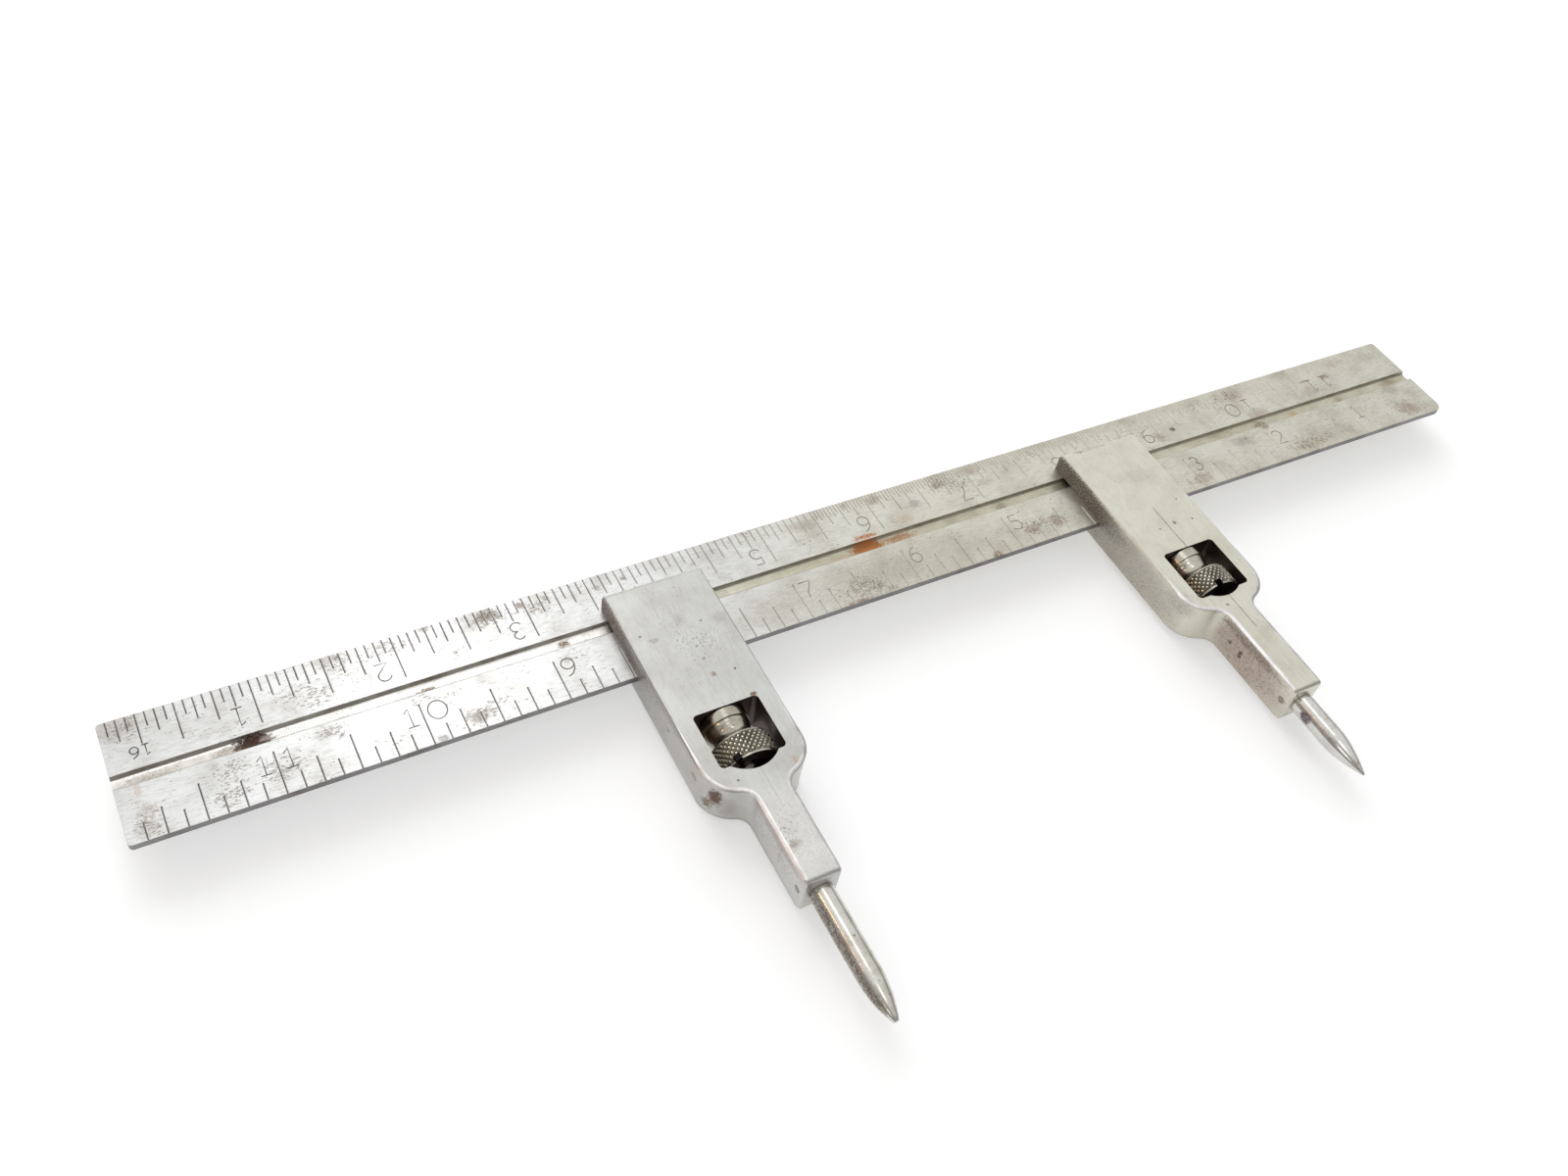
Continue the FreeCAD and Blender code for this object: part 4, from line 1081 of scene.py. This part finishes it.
def helix_ridge(name, x, begin, end):
    """A screw thread's ridge: a triangle swept along a helix."""
    turns = (end - begin) / THREAD_PITCH - 1
    bpy.ops.object.select_all(action="DESELECT")
    bpy.ops.mesh.primitive_circle_add(vertices=3, radius=THREAD_PITCH / 2, fill_type="NOTHING",
                                      location=(THREAD_CORE, begin + THREAD_PITCH / 2, 0),
                                      rotation=(0, 0, -math.pi / 2))
    ridge = named(name)
    edit(ridge)
    choose(ridge, "verts", lambda vert: vert.co.x > THREAD_CORE)
    bpy.ops.transform.translate(value=(THREAD_RADIUS - THREAD_CORE - THREAD_PITCH / 2, 0, 0))
    leave()
    finish_with(ridge, "SCREW", axis="Y", angle=math.tau, screw_offset=THREAD_PITCH,
                iterations=int(turns), steps=THREAD_STEPS, render_steps=THREAD_STEPS,
                use_normal_calculate=True)
    edit(ridge)
    choose(ridge, "edges", lambda edge: edge.is_boundary)
    bpy.ops.mesh.edge_face_add()
    leave()
    only(ridge)
    bpy.ops.transform.translate(value=(x, 0, MID_Z))
    bpy.ops.object.transform_apply(location=True, rotation=False, scale=False)
    return ridge


for side in SIDES:
    x, rule_edge = HEAD_X[side], BLADE_LOW.y
    hook = rule_edge + HOOK_END
    foot = rule_edge + BARREL_FOOT
    end = hook - BOLT_LENGTH
    bolt = turned(f"{side}_hooked_bolt", x, "clamp_steel", [
        (hook, BARREL_RADIUS - BOLT_BREAK), (hook - BOLT_BREAK, BARREL_RADIUS),
        (foot, BARREL_RADIUS), (foot, THREAD_CORE), (end + BOLT_BREAK, THREAD_CORE),
        (end, THREAD_CORE - BOLT_BREAK)])
    far, beyond = BARREL_RADIUS + OVERRUN, hook + OVERRUN
    tongue = block("tongue_cutter", (x - far, rule_edge - BARREL_START, MID_Z - far),
                   (x + far, beyond, BLADE_HIGH.z - HOOK_DEPTH))
    carve(bolt, tongue)
    relief = block("relief_cutter", (x - far, rule_edge - BARREL_START, MID_Z - far),
                   (x + far, groove_near, BLADE_HIGH.z + TONGUE_GAP))
    carve(bolt, relief)
    bolt.data.materials.clear()
    add_finishes(bolt, STEELS["clamp_steel"])
    ridge = helix_ridge("thread", x, end + BOLT_BREAK, foot - THREAD_PITCH)
    add_finishes(ridge, STEELS["clamp_steel"])
    bolt = joined(f"{side}_hooked_bolt", [bolt, ridge])
    put_in(bolt, f"{side}_bolt", f"{side}_clamp_bolt")

# %% [markdown]
# ### Knurled nuts
#
# The nut is the piece that the fingers know: a collar, a hollow neck, and a drum with a diamond
# knurl. The knurl is made on the drum itself. Its skin is a grid of rectangles. Poking a centre
# into each and dissolving the old edges leaves a net of diamonds. Two insets follow: the first
# leaves a groove round every diamond, and the second raises its middle to a small blunt pyramid,
# as the wheels of a knurling tool do. The grooves are painted dark as shade, and the tips, which
# fingers polish, are painted bright as glints.

# %% Nuts
COLLAR_RADIUS = 4.65 * MM
COLLAR_LENGTH = 2.2 * MM
STEP_RADIUS = 4.3 * MM
COVE_RADIUS = 2.6 * MM
COVE_CENTRE = 4.1 * MM
COVE_STEPS = 12
NECK_RADIUS = 4.05 * MM
FLARE_RADIUS = 5.2 * MM
KNURL_START = 6.6 * MM
KNURL_RADIUS = 6.2 * MM
KNURL_GAP = 0.07 * MM
KNURL_SLOPE = 0.2 * MM
KNURL_DEPTH = 0.3 * MM
KNURL_AROUND = 32
KNURL_ROWS = 4
KNURL_END_BREAK = 0.35 * MM
SLEEVE_RADIUS = 5.3 * MM
NUT_BORE = 1.8 * MM
RECESS_RADIUS = 3.7 * MM
RECESS_DEPTH = 2.0 * MM
SLOT_WIDTH = 1.5 * MM
SLOT_DEPTH = 1.3 * MM
SLOT_TURN = {"left": -30.0, "right": -8.0}


def hollow_neck(face):
    """Rings of the neck's hollow curve, from a step under the collar to the flare."""
    centre_radius = NECK_RADIUS + COVE_RADIUS
    first = math.acos((centre_radius - STEP_RADIUS) / COVE_RADIUS)
    last = -math.acos((centre_radius - FLARE_RADIUS) / COVE_RADIUS)
    rings = []
    for step in range(COVE_STEPS + 1):
        angle = first + (last - first) * step / COVE_STEPS
        rings.append((face - COVE_CENTRE + COVE_RADIUS * math.sin(angle),
                      centre_radius - COVE_RADIUS * math.cos(angle)))
    return rings


def knurled_sleeve(name, x, begin, end):
    """A ring with a diamond knurl, running from begin down to end along Y."""
    band_begin, band_end = begin - EDGE_BREAK, end + KNURL_END_BREAK
    row = (band_end - band_begin) / KNURL_ROWS
    rings = [(begin, SLEEVE_RADIUS), (begin, KNURL_RADIUS - EDGE_BREAK)]
    rings += [(band_begin + row * step, KNURL_RADIUS - KNURL_DEPTH)
              for step in range(KNURL_ROWS + 1)]
    rings += [(end, KNURL_RADIUS - KNURL_END_BREAK), (end, SLEEVE_RADIUS)]
    sleeve = turned(name, x, "nut_steel", rings, hollow=True, around=KNURL_AROUND)
    add_finishes(sleeve, KNURL_GROOVE_SHADE, KNURL_TIP_GLINT)

    def in_band(y):
        return band_end - HAIR < y < band_begin + HAIR

    def is_band(face):
        return all(in_band(vert.co.y) for vert in face.verts) and face.normal.y < 0.5

    def is_grid(edge):
        sides = [face for face in edge.link_faces if is_band(face) and len(face.verts) == 3]
        rim = any(min(abs(vert.co.y - band_begin), abs(vert.co.y - band_end)) < HAIR
                  for vert in edge.verts)
        lengthwise = abs(along(edge).y) > 0.99
        crosswise = abs(along(edge).y) < 0.01
        return len(sides) == 2 and (lengthwise or (crosswise and not rim))

    edit(sleeve)
    choose(sleeve, "faces", is_band)
    bpy.ops.mesh.poke()
    choose(sleeve, "edges", is_grid)
    bpy.ops.mesh.dissolve_edges(use_verts=False)
    # The grooves get painted shade, the slopes plain nut steel and the pyramid tips painted glints.
    choose(sleeve, "faces", is_band)
    paint(sleeve, 1)
    bpy.ops.mesh.inset(thickness=KNURL_GAP, depth=0, use_individual=True)
    paint(sleeve, 0)
    bpy.ops.mesh.inset(thickness=KNURL_SLOPE, depth=KNURL_DEPTH, use_individual=True)
    paint(sleeve, 2)
    leave()
    return sleeve


def is_end(face, x, end):
    """True for the nut's end face and the inside of its recess."""
    at = face.calc_center_median()
    from_axis = math.hypot(at.x - x, at.z - MID_Z)
    on_end = face.normal.y < -0.9 and at.y < end + NEARBY
    return on_end or (from_axis < RECESS_RADIUS + NEARBY and at.y < end + 1.01 * RECESS_DEPTH)


for side in SIDES:
    x = HEAD_X[side]
    low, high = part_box(f"{side}_clamp_nut")
    end = low.y
    drum_start = high.y - KNURL_START
    body = turned(f"{side}_nut_body", x, "nut_steel", [
        (high.y, NUT_BORE), (high.y, COLLAR_RADIUS - EDGE_BREAK),
        (high.y - EDGE_BREAK, COLLAR_RADIUS), (high.y - COLLAR_LENGTH, COLLAR_RADIUS),
        (high.y - COLLAR_LENGTH, STEP_RADIUS),
        *hollow_neck(high.y), (drum_start, KNURL_RADIUS - EDGE_BREAK),
        (drum_start - EDGE_BREAK, SLEEVE_RADIUS), (end, SLEEVE_RADIUS), (end, RECESS_RADIUS),
        (end + RECESS_DEPTH, RECESS_RADIUS), (end + RECESS_DEPTH, NUT_BORE)],
        hollow=True, around=2 * KNURL_AROUND)
    sleeve = knurled_sleeve("knurl", x, drum_start, end)
    nut = joined(f"{side}_knurled_nut", [body, sleeve])
    # The end face and recess are painted dark as shade.
    add_finishes(nut, NUT_END_SHADE)
    refinish(nut, lambda face: is_end(face, x, end), len(nut.data.materials) - 1)
    slot = block("slot_cutter", (x - 2 * SLEEVE_RADIUS, end - OVERRUN, MID_Z - SLOT_WIDTH / 2),
                 (x + 2 * SLEEVE_RADIUS, end + SLOT_DEPTH, MID_Z + SLOT_WIDTH / 2))
    edit(slot)
    bpy.ops.mesh.select_all(action="SELECT")
    bpy.ops.transform.rotate(value=math.radians(90 - SLOT_TURN[side]), orient_axis="Y",
                             center_override=(x, end, MID_Z))
    leave()
    add_finishes(slot, NUT_END_SHADE)
    carve(nut, slot, crossing=True)
    put_in(nut, f"{side}_nut", f"{side}_clamp_nut")

# %% [markdown]
# ## Floor and light
#
# The compass lies on a white sheet under soft lamps. What the camera, a mirror or glass sees
# of the sheet is near white, and the light that falls on the steel stays plain.

# %% Floor
FLOOR_SIZE = 6.0
SHEET_GLOW = 0.27
SEEN_WHITE = 1.5
PAPER_WHITE = (0.95, 0.95, 0.95, 1)
bpy.ops.object.select_all(action="DESELECT")
bpy.ops.mesh.primitive_plane_add(size=FLOOR_SIZE, location=(0, 0, 0))
floor = named("floor")


def seen_directly(tree):
    """1 for rays from the camera, from a mirror or through glass."""
    path = tree.nodes.new("ShaderNodeLightPath").outputs
    glossy_or_glass = maths(tree, "MAXIMUM", path["Is Glossy Ray"], path["Is Transmission Ray"])
    return maths(tree, "MAXIMUM", path["Is Camera Ray"], glossy_or_glass)


sheet = bpy.data.materials.new("white_sheet")
sheet.use_nodes = True
tree = sheet.node_tree
paper = tree.nodes["Principled BSDF"]
paper.inputs["Base Color"].default_value = PAPER_WHITE
paper.inputs["Roughness"].default_value = 0.9
glow = add(tree, "Emission", {"Color": (1.0, 1.0, 1.0), "Strength": SEEN_WHITE})["Emission"]
share = maths(tree, "MULTIPLY", seen_directly(tree), SHEET_GLOW)
mixed = add(tree, "MixShader", {0: share, 1: paper.outputs["BSDF"], 2: glow})["Shader"]
feed(tree, mixed, tree.nodes["Material Output"].inputs["Surface"])
add_finishes(floor, sheet)

# %% [markdown]
# Polished steel shows what stands around it, so the sky that mirrors see matters as much as the
# lamps. A pale backdrop fills it above and behind the compass. Toward the maker's side and low
# down the room is dimmer, and that gives edges and turned pieces their dark and light bands. The
# light that falls on the sheet comes from all round and more of it from a low window behind the
# rule, so the soft shadows lie on the maker's side.

# %% Sky
SKY_LIGHT = (0.46, 0.46, 0.46)
WINDOW_LIGHT = (5.7, 5.7, 5.7)
TOWARD_WINDOW = (0.1, 0.95, 0.3)
BACKDROP = (0.97, 0.97, 0.965)
ROOM = (0.38, 0.365, 0.35)
TOWARD_BACKDROP = (0.25, 0.6, 1.0)
world = bpy.data.worlds.new("studio")
bpy.context.scene.world = world
world.use_nodes = True
tree = world.node_tree
direction = tree.nodes.new("ShaderNodeTexCoord").outputs["Generated"]
facing = vector_maths(tree, "DOT_PRODUCT", direction, TOWARD_BACKDROP)["Value"]
seen_sky = blend(tree, ramp(tree, facing, 0.4, 0.95), ROOM, BACKDROP)
window = ramp(tree, vector_maths(tree, "DOT_PRODUCT", direction, TOWARD_WINDOW)["Value"], 0.75, 1.0)
lighting_sky = blend(tree, window, SKY_LIGHT, WINDOW_LIGHT)
sky = blend(tree, seen_directly(tree), lighting_sky, seen_sky)
seen_by_camera = tree.nodes.new("ShaderNodeLightPath").outputs["Is Camera Ray"]
sky = blend(tree, seen_by_camera, sky, BACKDROP)
feed(tree, sky, tree.nodes["Background"].inputs["Color"])


# %% Lamps
def soft_lamp(name, direction, distance, size, energy, colour):
    """A round lamp that looks at the middle of the compass."""
    bpy.ops.object.light_add(type="AREA", location=Vector(direction).normalized() * distance)
    lamp = bpy.context.active_object
    lamp.name = name
    lamp.data.shape = "DISK"
    lamp.data.size = size
    lamp.data.energy = energy
    lamp.data.color = colour
    lamp.rotation_euler = (-lamp.location).to_track_quat("-Z", "Y").to_euler()


soft_lamp("main_lamp", (0.078, 0.593, 0.8), 1.2, 0.12, 0.36, (1.0, 1.0, 1.0))
soft_lamp("overhead_lamp", (-0.05, 0.32, 0.947), 1.2, 0.4, 0.4, (1.0, 1.0, 1.0))
soft_lamp("front_lamp", (-0.12, -0.15, 0.98), 1.2, 0.3, 0.4, (1.0, 1.0, 1.0))
soft_lamp("side_lamp", (-0.75, -0.25, 0.6), 1.0, 0.3, 0.4, (1.0, 0.98, 0.95))
soft_lamp("warm_lamp", (-0.69, 0.33, 0.645), 1.0, 0.07, 0.22, (1.0, 0.5, 0.2))

bpy.context.scene.view_settings.view_transform = "Standard"
